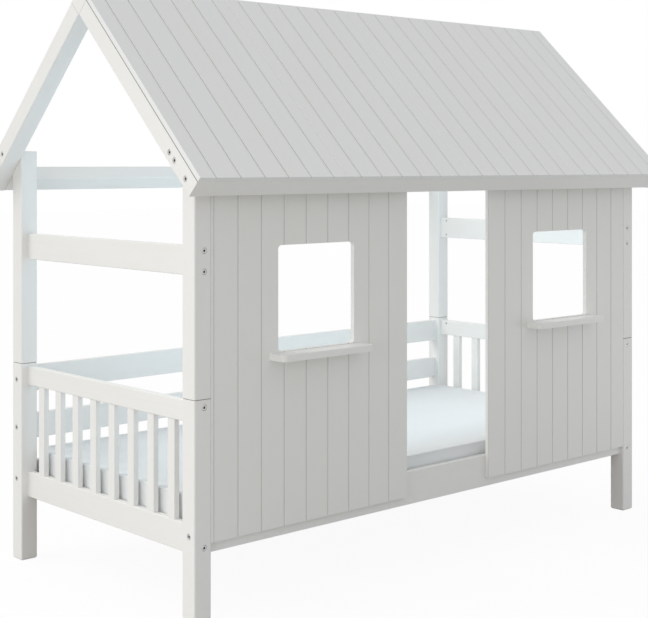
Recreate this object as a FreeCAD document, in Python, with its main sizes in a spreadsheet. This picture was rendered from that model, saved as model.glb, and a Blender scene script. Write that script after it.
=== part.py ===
# House frame bed: four two-part posts, slatted ends, a low side rail, a back guard, a grooved
# wall with two windows and a doorway, and a pitched roof frame with one slope boarded.
# Origin: floor level, under the middle of the rectangle that the posts stand on.
# +X runs along the bed, +Y towards its back, +Z up. Millimetres.
import FreeCAD, Part
import Sketcher
import math
import os
import re

from FreeCAD import Placement, Rotation, Vector

# ---------------------------------------------------------------- driving sizes
SIZES = [
    # posts
    ("bed_length", 2100, "over the outer faces of the posts"),
    ("bed_width", 1025, "over the outer faces of the posts"),
    ("post_wide", 60, "width of a post, both ways"),
    ("lower_post", 660, "height of a lower post"),
    ("upper_post", 712.5, "height of an upper post"),
    ("post_round", 5, "rounding of the posts' upright edges"),
    ("end_ease", 2, "bevel round the ends of the posts"),
    ("foot_ease", 4.5, "bevel round the feet"),
    # end rails and their bars
    ("end_rail_inset", 24, "end rails, set in from the posts' outer faces"),
    ("end_rail_thick", 22, "thickness of the end rails"),
    ("end_bottom_z", 212, "underside of the bottom end rail"),
    ("end_bottom_deep", 84, "height of the bottom end rail"),
    ("end_top_z", 587.5, "underside of the top end rail"),
    ("end_top_deep", 62.5, "height of the top end rail"),
    ("end_upper_z", 1010, "underside of the upper end rail"),
    ("end_upper_deep", 86, "height of the upper end rail"),
    ("bar_count", 8, "upright bars in each end"),
    ("bar_wide", 34, "width of a bar"),
    ("bar_thick", 18, "thickness of a bar"),
    ("bar_set_back", 0.5, "bars, behind the end rails' outer faces"),
    ("bar_tenon", 10, "length of a bar's tenon inside each rail"),
    ("tenon_thick", 12, "thickness of a tenon, in the middle of its rail"),
    ("tenon_shoulder", 4, "bar, beyond each side of its tenons"),
    ("mortise_clearance", 0.2, "room round a bar's tenon"),
    # long rails
    ("long_rail_inset", 15, "long rails, set in from the posts' outer faces"),
    ("long_rail_thick", 23, "thickness of the long rails"),
    ("side_rail_z", 217, "underside of both side rails"),
    ("side_rail_deep", 108, "height of the side rails"),
    ("guard_middle_z", 401, "underside of the middle guard rail"),
    ("guard_middle_deep", 84, "height of the middle guard rail"),
    ("guard_top_z", 561, "underside of the top guard rail"),
    ("guard_top_deep", 87, "height of the top guard rail"),
    ("edge_round", 2.5, "rounding of rails, rafters and beams"),
    ("fine_round", 1.5, "rounding of bars, slats, cleats and sills"),
    # lying surface
    ("ledge_wide", 22, "width and height of the ledges that carry the slats"),
    ("ledge_z", 218, "underside of the ledges"),
    ("slat_count", 15, "slats under the mattress"),
    ("slat_wide", 70, "width of a slat"),
    ("slat_thick", 18, "thickness of a slat"),
    ("slat_end_gap", 2, "between a slat's end and the side rail"),
    ("first_slat", 20, "from a post to the nearest slat"),
    ("mattress_end_room", 4, "between the mattress and an end rail"),
    ("mattress_side_room", 4.5, "between the mattress and a side rail"),
    ("mattress_deep", 110, "height of the mattress at its upper edge"),
    ("mattress_crown", 4, "rise of its middle over that edge"),
    ("mattress_corner", 60, "corner radius, which clears the posts"),
    ("mattress_draw", 14, "how far the lower edge of its sides is drawn in"),
    ("mattress_lift", 0.3, "between the slats and the mattress"),
    # grooved wall sheets
    ("wall_thick", 15, "thickness of the wall sheets"),
    ("wall_z", 248, "underside of the wall sheets"),
    ("wall_high", 1112, "height of the wall sheets"),
    ("wall_left_gap", 0.5, "between the left post and the left sheet"),
    ("wall_left_wide", 797.5, "width of the left sheet"),
    ("wall_left_lap", 9, "sunk lap along the left sheet's left edge"),
    ("lap_deep", 3, "how far the lap is sunk below the sheet's face"),
    ("wall_right_gap", 0.5, "between the right post and the right sheet"),
    ("wall_right_wide", 782.5, "width of the right sheet"),
    ("board_pitch", 88, "between grooves, on walls and roof"),
    ("wall_grooves", 8, "grooves in each wall sheet"),
    ("groove_wide", 5, "width of a groove at the face"),
    ("groove_deep", 3, "depth of a groove"),
    ("window_offset", 240, "from the left edge of a sheet's first board to its window"),
    ("window_wide", 310.3, "width of a window"),
    ("window_high", 316.5, "height of a window"),
    ("window_rise", 523, "from a sheet's underside to its window"),
    ("window_corner", 12, "corner radius of a window"),
    ("sill_drop", 3, "from the window down to the sill's top"),
    ("sill_reach", 63.5, "how far a sill stands out from the wall"),
    ("sill_thick", 20, "thickness of a sill"),
    ("sill_overhang", 32, "sill beyond each side of its window"),
    ("sill_corner", 18, "radius of a sill's front corners"),
    ("cleat_wide", 30, "corner cleat, along the bed"),
    ("cleat_thick", 20, "corner cleat and top batten, through the wall"),
    ("batten_z", 1296, "underside of the batten over the doorway"),
    ("batten_high", 44, "height of that batten"),
    # roof
    ("roof_angle", 44.2, "pitch of both slopes, in degrees"),
    ("roof_clearance", 0.7, "from a post's top edge up to the roof plane"),
    ("roof_beam", 58, "depth of rafters, and side of the ridge and eaves beams"),
    ("rafter_wide", 60, "rafters, along the bed"),
    ("eaves_gap", 13.2, "between the posts' outer faces and the eaves beams"),
    ("roof_thick", 15, "thickness of the roof sheets"),
    ("roof_sheets", 4, "sheets side by side on the front slope"),
    ("roof_grooves", 6, "grooves in each roof sheet"),
    ("sheet_joint", 0.8, "joint between two roof sheets"),
    # connector bolts, barrel nuts and dowels
    ("bolt_wide", 6, "diameter of a connector bolt"),
    ("bolt_long", 96, "length of a connector bolt"),
    ("head_wide", 17, "diameter of a bolt head"),
    ("head_deep", 4, "height of a bolt head"),
    ("head_rim", 0.9, "bevel round a bolt head"),
    ("head_recess", 0.6, "bolt heads, below the surface"),
    ("head_clearance", 0.6, "round a bolt head, in its counterbore"),
    ("socket_wide", 5.8, "hexagon socket, over its corners"),
    ("socket_deep", 3, "depth of the hexagon socket"),
    ("nut_wide", 10, "diameter of a barrel nut"),
    ("nut_long", 16, "length of a barrel nut"),
    ("nut_reach", 32, "from a timber's end to its barrel nut"),
    ("insert_long", 12, "length of an insert nut"),
    ("dowel_wide", 8, "diameter of a rail dowel"),
    ("dowel_in_post", 15, "length of a rail dowel inside the post"),
    ("dowel_in_rail", 20, "length of a rail dowel inside the rail"),
    ("dowel_space", 26, "from a long rail's bolt to the dowel beside it"),
    ("joint_dowel_wide", 10, "diameter of the dowels between two posts"),
    ("joint_dowel_long", 76, "their length, half of it in each post"),
    ("joint_dowel_edge", 16, "from the post's outer face to a joint dowel"),
    ("joint_dowel_far", 46, "from the post's outer face to the other joint dowel"),
    ("top_bolt_drop", 13, "bolt below the upper edge of an end rail"),
    ("low_bolt_rise", 26, "bolt above the lower edge of the bottom end rail"),
    ("low_dowel_drop", 26, "dowel below the upper edge of the bottom end rail"),
    ("top_dowel_rise", 18, "dowel above the lower edge of the top end rail"),
    ("rafter_bolt_line", 34, "rafter bolts, below the roof plane"),
    ("rafter_bolt_near", 14, "lower rafter bolt, in from the post's outer face"),
    ("rafter_bolt_far", 37.5, "upper rafter bolt, in from the post's outer face"),
    ("eaves_bolt_in", 12, "eaves beam's bolt, from the beam's inner face"),
    ("ridge_bolt_offset", 10, "ridge bolts, to each side of the rafter's middle"),
    # wood screws
    ("screw_wide", 4, "diameter of a wood screw"),
    ("screw_head", 8, "diameter of its countersunk head"),
    ("screw_taper", 2.5, "height of the countersink and of the point"),
    ("wall_bite", 10, "length of a screw inside a wall or roof sheet"),
    ("post_bite", 20, "length of a cleat screw inside the post"),
    ("rail_bite", 14, "length of a ledge screw inside the side rail"),
    ("ledge_bite", 16, "length of a slat screw inside the ledge"),
    ("sill_bite", 26, "length of a sill screw inside the sill"),
    ("roof_screw_long", 40, "length of a roof screw"),
    ("roof_bore_wide", 9, "bore that lets a roof screw into its beam"),
    ("wall_screw_rise", 300, "height of the screws through the side rail"),
    ("wall_screw_edge", 60, "first screw, from a wall sheet's edge"),
    ("cleat_screw_edge", 60, "first screw, from a cleat's end"),
    ("cleat_screw_step", 40, "from a cleat's wall screw to its post screw"),
    ("cleat_screws", 4, "screws up each corner cleat"),
    ("batten_screws", 4, "screws across each wall sheet"),
    ("sill_screws", 3, "screws in each sill"),
    ("roof_screws", 3, "screws along each edge of a roof sheet"),
    ("fit_clearance", 0.1, "round every bolt, nut, dowel and screw"),
]

LEFT, RIGHT = -1, 1
FRONT, BACK = -1, 1
OVERSHOOT = 1.0                      # how far a cutter stands proud of what it cuts

doc = FreeCAD.newDocument("house_frame_bed")
sheet = doc.addObject("Spreadsheet::Sheet", "Sizes")
for row, (alias, value, meaning) in enumerate(SIZES, start=1):
    sheet.set(f"A{row}", alias)
    sheet.set(f"B{row}", str(value))
    sheet.set(f"C{row}", meaning)
    sheet.setAlias(f"B{row}", alias)
doc.recompute()

nodes = {}                           # finished sub-parts by name


# ---------------------------------------------------------------- helpers
def cells(expression):
    """Write each size named in an expression as a reference to the sheet."""
    return re.sub(r"\b([a-z]\w*)\b(?!\()", r"Sizes.\1", expression)


def number(expression):
    """The present value of an expression."""
    return float(sheet.evalExpression(cells(expression)))


def bind(target, prop, expression):
    target.setExpression(prop, cells(expression))


def place(target, at, tilt=None):
    """Bind an object's place, and its turn about the bed's length, to the sheet."""
    if tilt:
        target.Placement = Placement(Vector(), Rotation(Vector(1, 0, 0), number(tilt)))
        bind(target, "Placement.Rotation.Angle", tilt)
    for axis, expression in zip("xyz", at):
        bind(target, "Placement.Base." + axis, expression)


def attach(sketch, body, plane, offset=("0", "0", "0")):
    """Lay a sketch on one of its own body's planes, shifted within the plane's own axes."""
    support = next(p for p in body.Origin.OriginFeatures if p.Role == plane)
    sketch.AttachmentSupport = [(support, "")]
    sketch.MapMode = "FlatFace"
    for axis, expression in zip("xyz", offset):
        if expression != "0":
            bind(sketch, "AttachmentOffset.Base." + axis, expression)


def closed_lines(sketch, points):
    """Straight lines from point to point and back to the first."""
    ends = points[1:] + points[:1]
    sketch.addGeometry([Part.LineSegment(a, b) for a, b in zip(points, ends)], False)
    count = len(points)
    for i in range(count):
        sketch.addConstraint(Sketcher.Constraint("Coincident", i, 2, (i + 1) % count, 1))


def dimension(sketch, name, expression, *constraint):
    """Add a named dimension and bind it to the sheet."""
    index = sketch.addConstraint(Sketcher.Constraint(*constraint, number(expression)))
    sketch.renameConstraint(index, name)
    bind(sketch, "Constraints." + name, expression)


def rectangle(body, name, plane, across, up):
    """A rectangle with its first corner on the sketch's origin."""
    sketch = body.newObject("Sketcher::SketchObject", name)
    attach(sketch, body, plane)
    wide, high = number(across), number(up)
    closed_lines(sketch, [Vector(0, 0), Vector(wide, 0), Vector(wide, high), Vector(0, high)])
    for line, direction in enumerate(["Horizontal", "Vertical", "Horizontal", "Vertical"]):
        sketch.addConstraint(Sketcher.Constraint(direction, line))
    sketch.addConstraint(Sketcher.Constraint("Coincident", 0, 1, -1, 1))
    dimension(sketch, "across", across, "DistanceX", 0, 1, 0, 2)
    dimension(sketch, "up", up, "DistanceY", 1, 1, 1, 2)
    return sketch


def rounded_rectangle(body, name, plane, across, up, radius, offset):
    """A rectangle with round corners, centred on the sketch's own origin."""
    sketch = body.newObject("Sketcher::SketchObject", name)
    attach(sketch, body, plane, offset)
    a, b, r = number(across) / 2, number(up) / 2, number(radius)
    sides = [(Vector(r - a, -b), Vector(a - r, -b)), (Vector(a, r - b), Vector(a, b - r)),
             (Vector(a - r, b), Vector(r - a, b)), (Vector(-a, b - r), Vector(-a, r - b))]
    sketch.addGeometry([Part.LineSegment(start, end) for start, end in sides], False)
    for quarter, (x, y) in enumerate([(a - r, r - b), (a - r, b - r), (r - a, b - r), (r - a, r - b)]):
        circle = Part.Circle(Vector(x, y), Vector(0, 0, 1), r)
        start = (quarter - 1) * math.pi / 2
        sketch.addGeometry(Part.ArcOfCircle(circle, start, start + math.pi / 2), False)
    for i in range(4):
        sketch.addConstraint(Sketcher.Constraint("Tangent", i, 2, i + 4, 1))
        sketch.addConstraint(Sketcher.Constraint("Tangent", i + 4, 2, (i + 1) % 4, 1))
    for line, direction in enumerate(["Horizontal", "Vertical", "Horizontal", "Vertical"]):
        sketch.addConstraint(Sketcher.Constraint(direction, line))
    for corner in (5, 6, 7):
        sketch.addConstraint(Sketcher.Constraint("Equal", 4, corner))
    sketch.addConstraint(Sketcher.Constraint("Symmetric", 0, 1, 2, 1, -1, 1))
    dimension(sketch, "radius", radius, "Radius", 4)
    dimension(sketch, "across", across, "DistanceX", 3, 1, 1, 1)
    dimension(sketch, "up", up, "DistanceY", 0, 1, 2, 2)
    return sketch


def edges_along(shape, axis):
    """Names of the straight edges that run along one axis."""
    names = []
    for i, edge in enumerate(shape.Edges, start=1):
        if abs(abs(edge.tangentAt(edge.FirstParameter).dot(axis)) - 1) < 1e-6:
            names.append(f"Edge{i}")
    return names


def faces_across(shape, axis):
    """Names of the two end faces that are square to one axis, the lower one first."""
    found = []
    for i, face in enumerate(shape.Faces, start=1):
        if abs(abs(face.normalAt(0, 0).dot(axis)) - 1) < 1e-6:
            found.append((face.CenterOfMass.dot(axis), f"Face{i}"))
    return [name for height, name in sorted(found)]


def timber(name, size, at, grain, rounding, tilt=None, ease=()):
    """A planed timber: long edges rounded along its grain, and each end bevelled if asked."""
    body = doc.addObject("PartDesign::Body", name)
    pad = body.newObject("PartDesign::Pad", name + "_pad")
    pad.Profile = rectangle(body, name + "_section", "XY_Plane", size[0], size[1])
    bind(pad, "Length", size[2])
    doc.recompute()
    fillet = body.newObject("PartDesign::Fillet", name + "_edges")
    fillet.Base = (pad, edges_along(pad.Shape, grain))
    bind(fillet, "Radius", rounding)
    for end, size_of_bevel in enumerate(ease):
        doc.recompute()
        before = body.Tip
        bevel = body.newObject("PartDesign::Chamfer", f"{name}_end_{end + 1}")
        bevel.Base = (before, [faces_across(before.Shape, grain)[end]])
        bind(bevel, "Size", size_of_bevel)
    place(body, at, tilt)
    doc.recompute()
    return body


def mirrored(name, source, normal):
    """The same piece on the other side of the bed's middle."""
    twin = doc.addObject("Part::Mirroring", name)
    twin.Source = source
    twin.Normal = normal
    return twin


def shape_feature(name, shapes):
    """One object that holds several separate solids."""
    feature = doc.addObject("Part::Feature", name)
    feature.Shape = Part.makeCompound(shapes)
    return feature


def copies(form, places):
    """A form's solid at each of a list of placements."""
    found = []
    for spot in places:
        solid = form.Shape.copy()
        solid.Placement = spot.multiply(solid.Placement)
        found.append(solid)
    return found


def spread(first, last, count):
    """Evenly spaced values from first to last."""
    return [first + (last - first) * i / (count - 1) for i in range(count)]


def facing(point, direction):
    """A placement whose own +Z points along a direction."""
    return Placement(point, Rotation(Vector(0, 0, 1), direction))


def crosswise(point, barrel, bolt):
    """A barrel nut's placement: its length along barrel, its thread along bolt."""
    return Placement(point, Rotation(bolt, barrel.cross(bolt), barrel, "ZXY"))


def cylinder(name, radius, height, base="0"):
    tube = doc.addObject("Part::Cylinder", name)
    bind(tube, "Radius", radius)
    bind(tube, "Height", height)
    bind(tube, "Placement.Base.z", base)
    return tube


def fused(name, pieces):
    whole = doc.addObject("Part::MultiFuse", name)
    whole.Shapes = pieces
    return whole


def cut(name, base, tool):
    rest = doc.addObject("Part::Cut", name)
    rest.Base = base
    rest.Tool = tool
    return rest


X, Y, Z = Vector(1, 0, 0), Vector(0, 1, 0), Vector(0, 0, 1)
HALF_LONG = "bed_length / 2"
HALF_WIDE = "bed_width / 2"
POST_INNER = f"({HALF_LONG} - post_wide)"
RAIL_OUTER = f"({HALF_WIDE} - long_rail_inset)"
RAIL_INNER = f"({HALF_WIDE} - long_rail_inset - long_rail_thick)"
RAIL_SPAN = "(bed_length - 2 * post_wide)"
SIDE_TOP = "(side_rail_z + side_rail_deep)"
DECK_TOP = "(ledge_z + ledge_wide + slat_thick)"
APEX_Z = f"(lower_post + upper_post + roof_clearance + {HALF_WIDE} * tan(roof_angle))"
EAVES_OUT = f"({HALF_WIDE} + eaves_gap + roof_beam * (sin(roof_angle) + cos(roof_angle)))"
EAVES_Z = f"({APEX_Z} - {EAVES_OUT} * tan(roof_angle))"
SLOPE_LENGTH = f"({EAVES_OUT} / cos(roof_angle))"
MATTRESS_LONG = "(bed_length - 2 * (end_rail_inset + end_rail_thick + mattress_end_room))"
MATTRESS_WIDE = f"(2 * {RAIL_INNER} - 2 * mattress_side_room)"


# ---------------------------------------------------------------- places on the roof slopes
def up_slope(depth):
    """Direction up the front or the back slope."""
    return Vector(0, -depth * number("cos(roof_angle)"), number("sin(roof_angle)"))


def off_slope(depth):
    """Direction straight out of the front or the back slope."""
    return Vector(0, depth * number("sin(roof_angle)"), number("cos(roof_angle)"))


def on_slope(depth, x, along, above):
    """A point by its distances up the slope from the eaves and above the roof plane."""
    eaves = Vector(x, depth * number(EAVES_OUT), number(EAVES_Z))
    return eaves + up_slope(depth) * along + off_slope(depth) * above


# ---------------------------------------------------------------- connector bolts and nuts
def bolt_form():
    rim = doc.addObject("Part::Cone", "bolt_rim")
    bind(rim, "Radius1", "head_wide / 2 - head_rim")
    bind(rim, "Radius2", "head_wide / 2")
    bind(rim, "Height", "head_rim")
    bind(rim, "Placement.Base.z", "head_recess")
    head = cylinder("bolt_head", "head_wide / 2", "head_deep - head_rim", "head_recess + head_rim")
    shank = cylinder("bolt_shank", "bolt_wide / 2", "bolt_long - head_recess", "head_recess")
    socket = doc.addObject("Part::Prism", "bolt_socket")
    socket.Polygon = 6
    bind(socket, "Circumradius", "socket_wide / 2")
    bind(socket, "Height", "socket_deep")
    bind(socket, "Placement.Base.z", "head_recess")
    return cut("bolt_form", fused("bolt_blank", [rim, head, shank]), socket)


def barrel_nut_form():
    barrel = cylinder("barrel", "nut_wide / 2", "nut_long", "-nut_long / 2")
    thread = cylinder("barrel_thread", "bolt_wide / 2 + fit_clearance", "nut_wide * 2")
    thread.Placement = Placement(Vector(), Rotation(Vector(0, 1, 0), 90))
    bind(thread, "Placement.Base.x", "-nut_wide")
    return cut("barrel_nut_form", barrel, thread)


def insert_nut_form():
    outer = cylinder("insert_outer", "nut_wide / 2", "insert_long")
    inner = cylinder("insert_thread", "bolt_wide / 2 + fit_clearance", "insert_long")
    return cut("insert_nut_form", outer, inner)


def bore(family, point, direction, radius, length):
    """Drill a round hole into every piece that this family of cutters is used on."""
    wall = number("fit_clearance")
    cutters[family].append(Part.makeCylinder(number(radius) + wall, length + wall, point, direction))


def bolt_hole(family, point, direction):
    """Counterbore and clearance hole of one connector bolt."""
    seat = number("head_recess + head_deep")
    radius = number("head_wide / 2 + head_clearance")
    mouth = point - direction * OVERSHOOT
    cutters[family].append(Part.makeCylinder(radius, seat + OVERSHOOT, mouth, direction))
    bore(family, point, direction, "bolt_wide / 2", number("bolt_long"))


def nut_hole(family, centre, mouth_direction, mouth_distance):
    """Cross hole of one barrel nut, open on the side that it is pushed in from."""
    half = number("nut_long / 2 + fit_clearance")
    start = centre - mouth_direction * half
    bore(family, start, mouth_direction, "nut_wide / 2", half + mouth_distance + OVERSHOOT)


cutters = {"frame": [], "roof": [], "ridge": [], "wall": [], "lap": [], "deck": []}
frame_bolts, roof_bolts, barrel_nuts, insert_nuts, dowels, joint_dowels = [], [], [], [], [], []

END_BOLT_HEIGHTS = [
    "end_bottom_z + low_bolt_rise",
    "end_top_z + end_top_deep - top_bolt_drop",
    "end_upper_z + top_bolt_drop",
    "end_upper_z + end_upper_deep - top_bolt_drop",
]
END_DOWEL_HEIGHTS = [
    "end_bottom_z + end_bottom_deep - low_dowel_drop",
    "end_top_z + top_dowel_rise",
]
LONG_RAILS = [
    (FRONT, "side_rail_z + side_rail_deep / 2"),
    (BACK, "side_rail_z + side_rail_deep / 2"),
    (BACK, "guard_middle_z + guard_middle_deep / 2"),
    (BACK, "guard_top_z + guard_top_deep / 2"),
]


def rail_dowel(joint, direction):
    """A dowel across the joint between a post and a rail; direction points into the rail."""
    start = joint - direction * number("dowel_in_post")
    dowels.append(facing(start, direction))
    bore("frame", start, direction, "dowel_wide / 2", number("dowel_in_post + dowel_in_rail"))


def end_rail_fixings(side, depth):
    """Bolts, nuts and dowels between one corner's posts and its end rails."""
    x = side * number(f"{HALF_LONG} - end_rail_inset - end_rail_thick / 2")
    inward = Vector(0, -depth, 0)
    to_inside = Vector(-side, 0, 0)
    for height in END_BOLT_HEIGHTS:
        start = Vector(x, depth * number(HALF_WIDE), number(height))
        nut = start + inward * number("post_wide + nut_reach")
        frame_bolts.append(facing(start, inward))
        barrel_nuts.append(crosswise(nut, to_inside, inward))
        bolt_hole("frame", start, inward)
        nut_hole("frame", nut, to_inside, number("end_rail_thick / 2"))
    for height in END_DOWEL_HEIGHTS:
        rail_dowel(Vector(x, depth * number(f"{HALF_WIDE} - post_wide"), number(height)), inward)


def long_rail_fixings(side, depth, height):
    """Bolt, nut and two dowels between one post and one long rail."""
    y = depth * number(f"{RAIL_OUTER} - long_rail_thick / 2")
    inward = Vector(-side, 0, 0)
    start = Vector(side * number(HALF_LONG), y, number(height))
    nut = start + inward * number("post_wide + nut_reach")
    frame_bolts.append(facing(start, inward))
    barrel_nuts.append(crosswise(nut, Y, inward))
    bolt_hole("frame", start, inward)
    nut_hole("frame", nut, Y, number("long_rail_thick / 2"))
    for offset in (-number("dowel_space"), number("dowel_space")):
        rail_dowel(start + inward * number("post_wide") + Z * offset, inward)


def post_joint_fixings(side, depth):
    """Two upright dowels that locate an upper post on its lower one."""
    bottom = number("lower_post - joint_dowel_long / 2")
    corner, middle = "joint_dowel_edge", "joint_dowel_far"
    for across, through in [(corner, middle), (middle, corner)]:
        x = side * number(f"{HALF_LONG} - {across}")
        y = depth * number(f"{HALF_WIDE} - {through}")
        joint_dowels.append(facing(Vector(x, y, bottom), Z))
        bore("frame", Vector(x, y, bottom), Z, "joint_dowel_wide / 2", number("joint_dowel_long"))


def rafter_fixings(side, depth):
    """Two bolts from a rafter into its post, and one into the eaves beam."""
    inward = Vector(-side, 0, 0)
    outer = side * number(f"{HALF_LONG} + rafter_wide")
    for inset in ("rafter_bolt_near", "rafter_bolt_far"):
        y = number(f"{HALF_WIDE} - {inset}")
        z = number(f"{APEX_Z} - ({HALF_WIDE} - {inset}) * tan(roof_angle)"
                   " - rafter_bolt_line / cos(roof_angle)")
        start = Vector(outer, depth * y, z)
        face = start + inward * number("rafter_wide")
        roof_bolts.append(facing(start, inward))
        insert_nuts.append(facing(face, inward))
        bolt_hole("roof", start, inward)
        bore("roof", face, inward, "nut_wide / 2", number("insert_long"))
    start = on_slope(depth, outer, number("roof_beam - eaves_bolt_in"), -number("rafter_bolt_line"))
    nut = start + inward * number("rafter_wide + nut_reach")
    down = off_slope(depth) * -1
    roof_bolts.append(facing(start, inward))
    barrel_nuts.append(crosswise(nut, down, inward))
    bolt_hole("roof", start, inward)
    nut_hole("roof", nut, down, number("roof_beam - rafter_bolt_line"))


def ridge_fixings(side, depth):
    """One bolt through the ridge beam into the top end of a rafter."""
    to_inside = Vector(-side, 0, 0)
    middle = side * number(f"{HALF_LONG} + rafter_wide / 2")
    x = middle + side * depth * number("ridge_bolt_offset")
    down = up_slope(depth) * -1
    start = on_slope(depth, x, number(SLOPE_LENGTH), -number("roof_beam / 2"))
    nut = start + down * number("roof_beam + nut_reach")
    roof_bolts.append(facing(start, down))
    barrel_nuts.append(crosswise(nut, to_inside, down))
    bolt_hole("ridge", start, down)
    nut_hole("ridge", nut, to_inside, number("rafter_wide / 2 + ridge_bolt_offset"))


for side in (LEFT, RIGHT):
    for depth in (FRONT, BACK):
        end_rail_fixings(side, depth)
        post_joint_fixings(side, depth)
        rafter_fixings(side, depth)
        ridge_fixings(side, depth)
    for depth, height in LONG_RAILS:
        long_rail_fixings(side, depth, height)


# ---------------------------------------------------------------- wood screws
def screw_form(name, length):
    """A countersunk screw that starts at its head and points along +Z."""
    head = doc.addObject("Part::Cone", name + "_head")
    bind(head, "Radius1", "screw_head / 2")
    bind(head, "Radius2", "screw_wide / 2")
    bind(head, "Height", "screw_taper")
    shank = cylinder(name + "_shank", "screw_wide / 2", f"{length} - 2 * screw_taper", "screw_taper")
    point = doc.addObject("Part::Cone", name + "_point")
    bind(point, "Radius1", "screw_wide / 2")
    point.Radius2 = 0
    bind(point, "Height", "screw_taper")
    bind(point, "Placement.Base.z", f"{length} - screw_taper")
    return fused(name + "_form", [head, shank, point])


def screw_hole(family, spot, length):
    """Countersink and pilot hole of one screw."""
    direction = spot.Rotation.multVec(Z)
    wall = number("fit_clearance")
    sink = Part.makeCone(number("screw_head / 2") + wall, number("screw_wide / 2") + wall,
                         number("screw_taper"), spot.Base, direction)
    mouth = Part.makeCylinder(number("screw_head / 2") + wall, OVERSHOOT,
                              spot.Base - direction * OVERSHOOT, direction)
    cutters[family].append(sink.fuse(mouth))
    bore(family, spot.Base, direction, "screw_wide / 2", number(length))


def screws(name, family, length, places):
    """A node of identical screws, and the holes that they are driven into."""
    for spot in places:
        screw_hole(family, spot, length)
    form = screw_form(name, length)
    doc.recompute()
    nodes[name] = shape_feature(name, copies(form, places))


# wall sheets: where each one starts and ends along the bed
left_sheet = (number(f"-{POST_INNER} + wall_left_gap"),
              number(f"-{POST_INNER} + wall_left_gap + wall_left_wide"))
right_sheet = (number(f"{POST_INNER} - wall_right_gap - wall_right_wide"),
               number(f"{POST_INNER} - wall_right_gap"))
sheet_screw_xs = []
for start, end in (left_sheet, right_sheet):
    edge = number("wall_screw_edge")
    sheet_screw_xs += spread(start + edge, end - edge, int(number("batten_screws")))

rail_inner_y = -number(RAIL_INNER)
wall_back_y = -number(RAIL_OUTER)
screws("wall_rail_screws", "wall", "(long_rail_thick + wall_bite)",
       [facing(Vector(x, rail_inner_y, number("wall_screw_rise")), -Y) for x in sheet_screw_xs])

batten_inner_y = wall_back_y + number("cleat_thick")
cleat_middle_y = wall_back_y + number("cleat_thick / 2")
batten_middle_z = number("batten_z + batten_high / 2")
cleat_zs = spread(number(f"{SIDE_TOP} + cleat_screw_edge"), number("batten_z - cleat_screw_edge"),
                  int(number("cleat_screws")))
backing_places = [facing(Vector(x, batten_inner_y, batten_middle_z), -Y) for x in sheet_screw_xs]
post_places = []
for side in (LEFT, RIGHT):
    wall_x = side * number(f"{POST_INNER} - cleat_wide * 2 / 3")
    post_x = side * number(f"{POST_INNER} - cleat_wide")
    for z in cleat_zs:
        backing_places.append(facing(Vector(wall_x, batten_inner_y, z), -Y))
        post_z = z + number("cleat_screw_step")
        post_places.append(facing(Vector(post_x, cleat_middle_y, post_z), X * side))
screws("wall_batten_screws", "wall", "(cleat_thick + wall_bite)", backing_places)
screws("cleat_post_screws", "wall", "(cleat_wide + post_bite)", post_places)

window_in = number("window_offset + window_wide / 2")
window_middles = [left_sheet[0] + number("wall_left_lap") + window_in, right_sheet[0] + window_in]
sill_z = number("wall_z + window_rise - sill_drop - sill_thick / 2")
half_window = number("window_wide / 2")
sill_places = [facing(Vector(x, wall_back_y, sill_z), -Y) for middle in window_middles
               for x in spread(middle - half_window, middle + half_window, int(number("sill_screws")))]
screws("sill_fixing_screws", "wall", "(wall_thick + sill_bite)", sill_places)

first_slat_x = number(f"{POST_INNER} - first_slat - slat_wide / 2")
slat_xs = spread(-first_slat_x, first_slat_x, int(number("slat_count")))
between_slats = [(a + b) / 2 for a, b in zip(slat_xs[::2], slat_xs[1::2])]
ledge_places, slat_places = [], []
for depth in (FRONT, BACK):
    ledge_y = depth * number(f"{RAIL_INNER} - ledge_wide")
    for x in between_slats:
        ledge_places.append(facing(Vector(x, ledge_y, number("ledge_z + ledge_wide / 2")), Y * depth))
    for x in slat_xs:
        slat_y = depth * number(f"{RAIL_INNER} - ledge_wide / 2")
        slat_places.append(facing(Vector(x, slat_y, number(DECK_TOP)), -Z))
screws("ledge_screws", "deck", "(ledge_wide + rail_bite)", ledge_places)
screws("slat_screws", "deck", "(slat_thick + ledge_bite)", slat_places)

roof_places = []
sheet_pitch = number("(bed_length + 2 * rafter_wide) / roof_sheets")
screw_depth = number("roof_screw_long - wall_bite")
for i in range(int(number("roof_sheets"))):
    middle = number(f"-{HALF_LONG} - rafter_wide") + (i + 0.5) * sheet_pitch
    for x in spread(middle - sheet_pitch / 3, middle + sheet_pitch / 3, int(number("roof_screws"))):
        for along in (number("roof_beam / 2"), number(f"{SLOPE_LENGTH} - roof_beam / 2")):
            roof_places.append(facing(on_slope(FRONT, x, along, -screw_depth), off_slope(FRONT)))
            below = on_slope(FRONT, x, along, -number("roof_beam") - 2 * OVERSHOOT)
            bore("roof", below, off_slope(FRONT), "roof_bore_wide / 2",
                 number("roof_beam") + 2 * OVERSHOOT - screw_depth)
screws("roof_sheet_screws", "roof", "roof_screw_long", roof_places)

bolt = bolt_form()
barrel_nut = barrel_nut_form()
insert_nut = insert_nut_form()
dowel = cylinder("dowel_form", "dowel_wide / 2", "dowel_in_post + dowel_in_rail")
joint_dowel = cylinder("joint_dowel_form", "joint_dowel_wide / 2", "joint_dowel_long")
doc.recompute()
nodes["frame_bolts"] = shape_feature("frame_bolts", copies(bolt, frame_bolts))
nodes["roof_bolts"] = shape_feature("roof_bolts", copies(bolt, roof_bolts))
nodes["barrel_nuts"] = shape_feature("barrel_nuts", copies(barrel_nut, barrel_nuts))
nodes["insert_nuts"] = shape_feature("insert_nuts", copies(insert_nut, insert_nuts))
nodes["rail_dowels"] = shape_feature("rail_dowels", copies(dowel, dowels))
nodes["post_joint_dowels"] = shape_feature("post_joint_dowels", copies(joint_dowel, joint_dowels))


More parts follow.
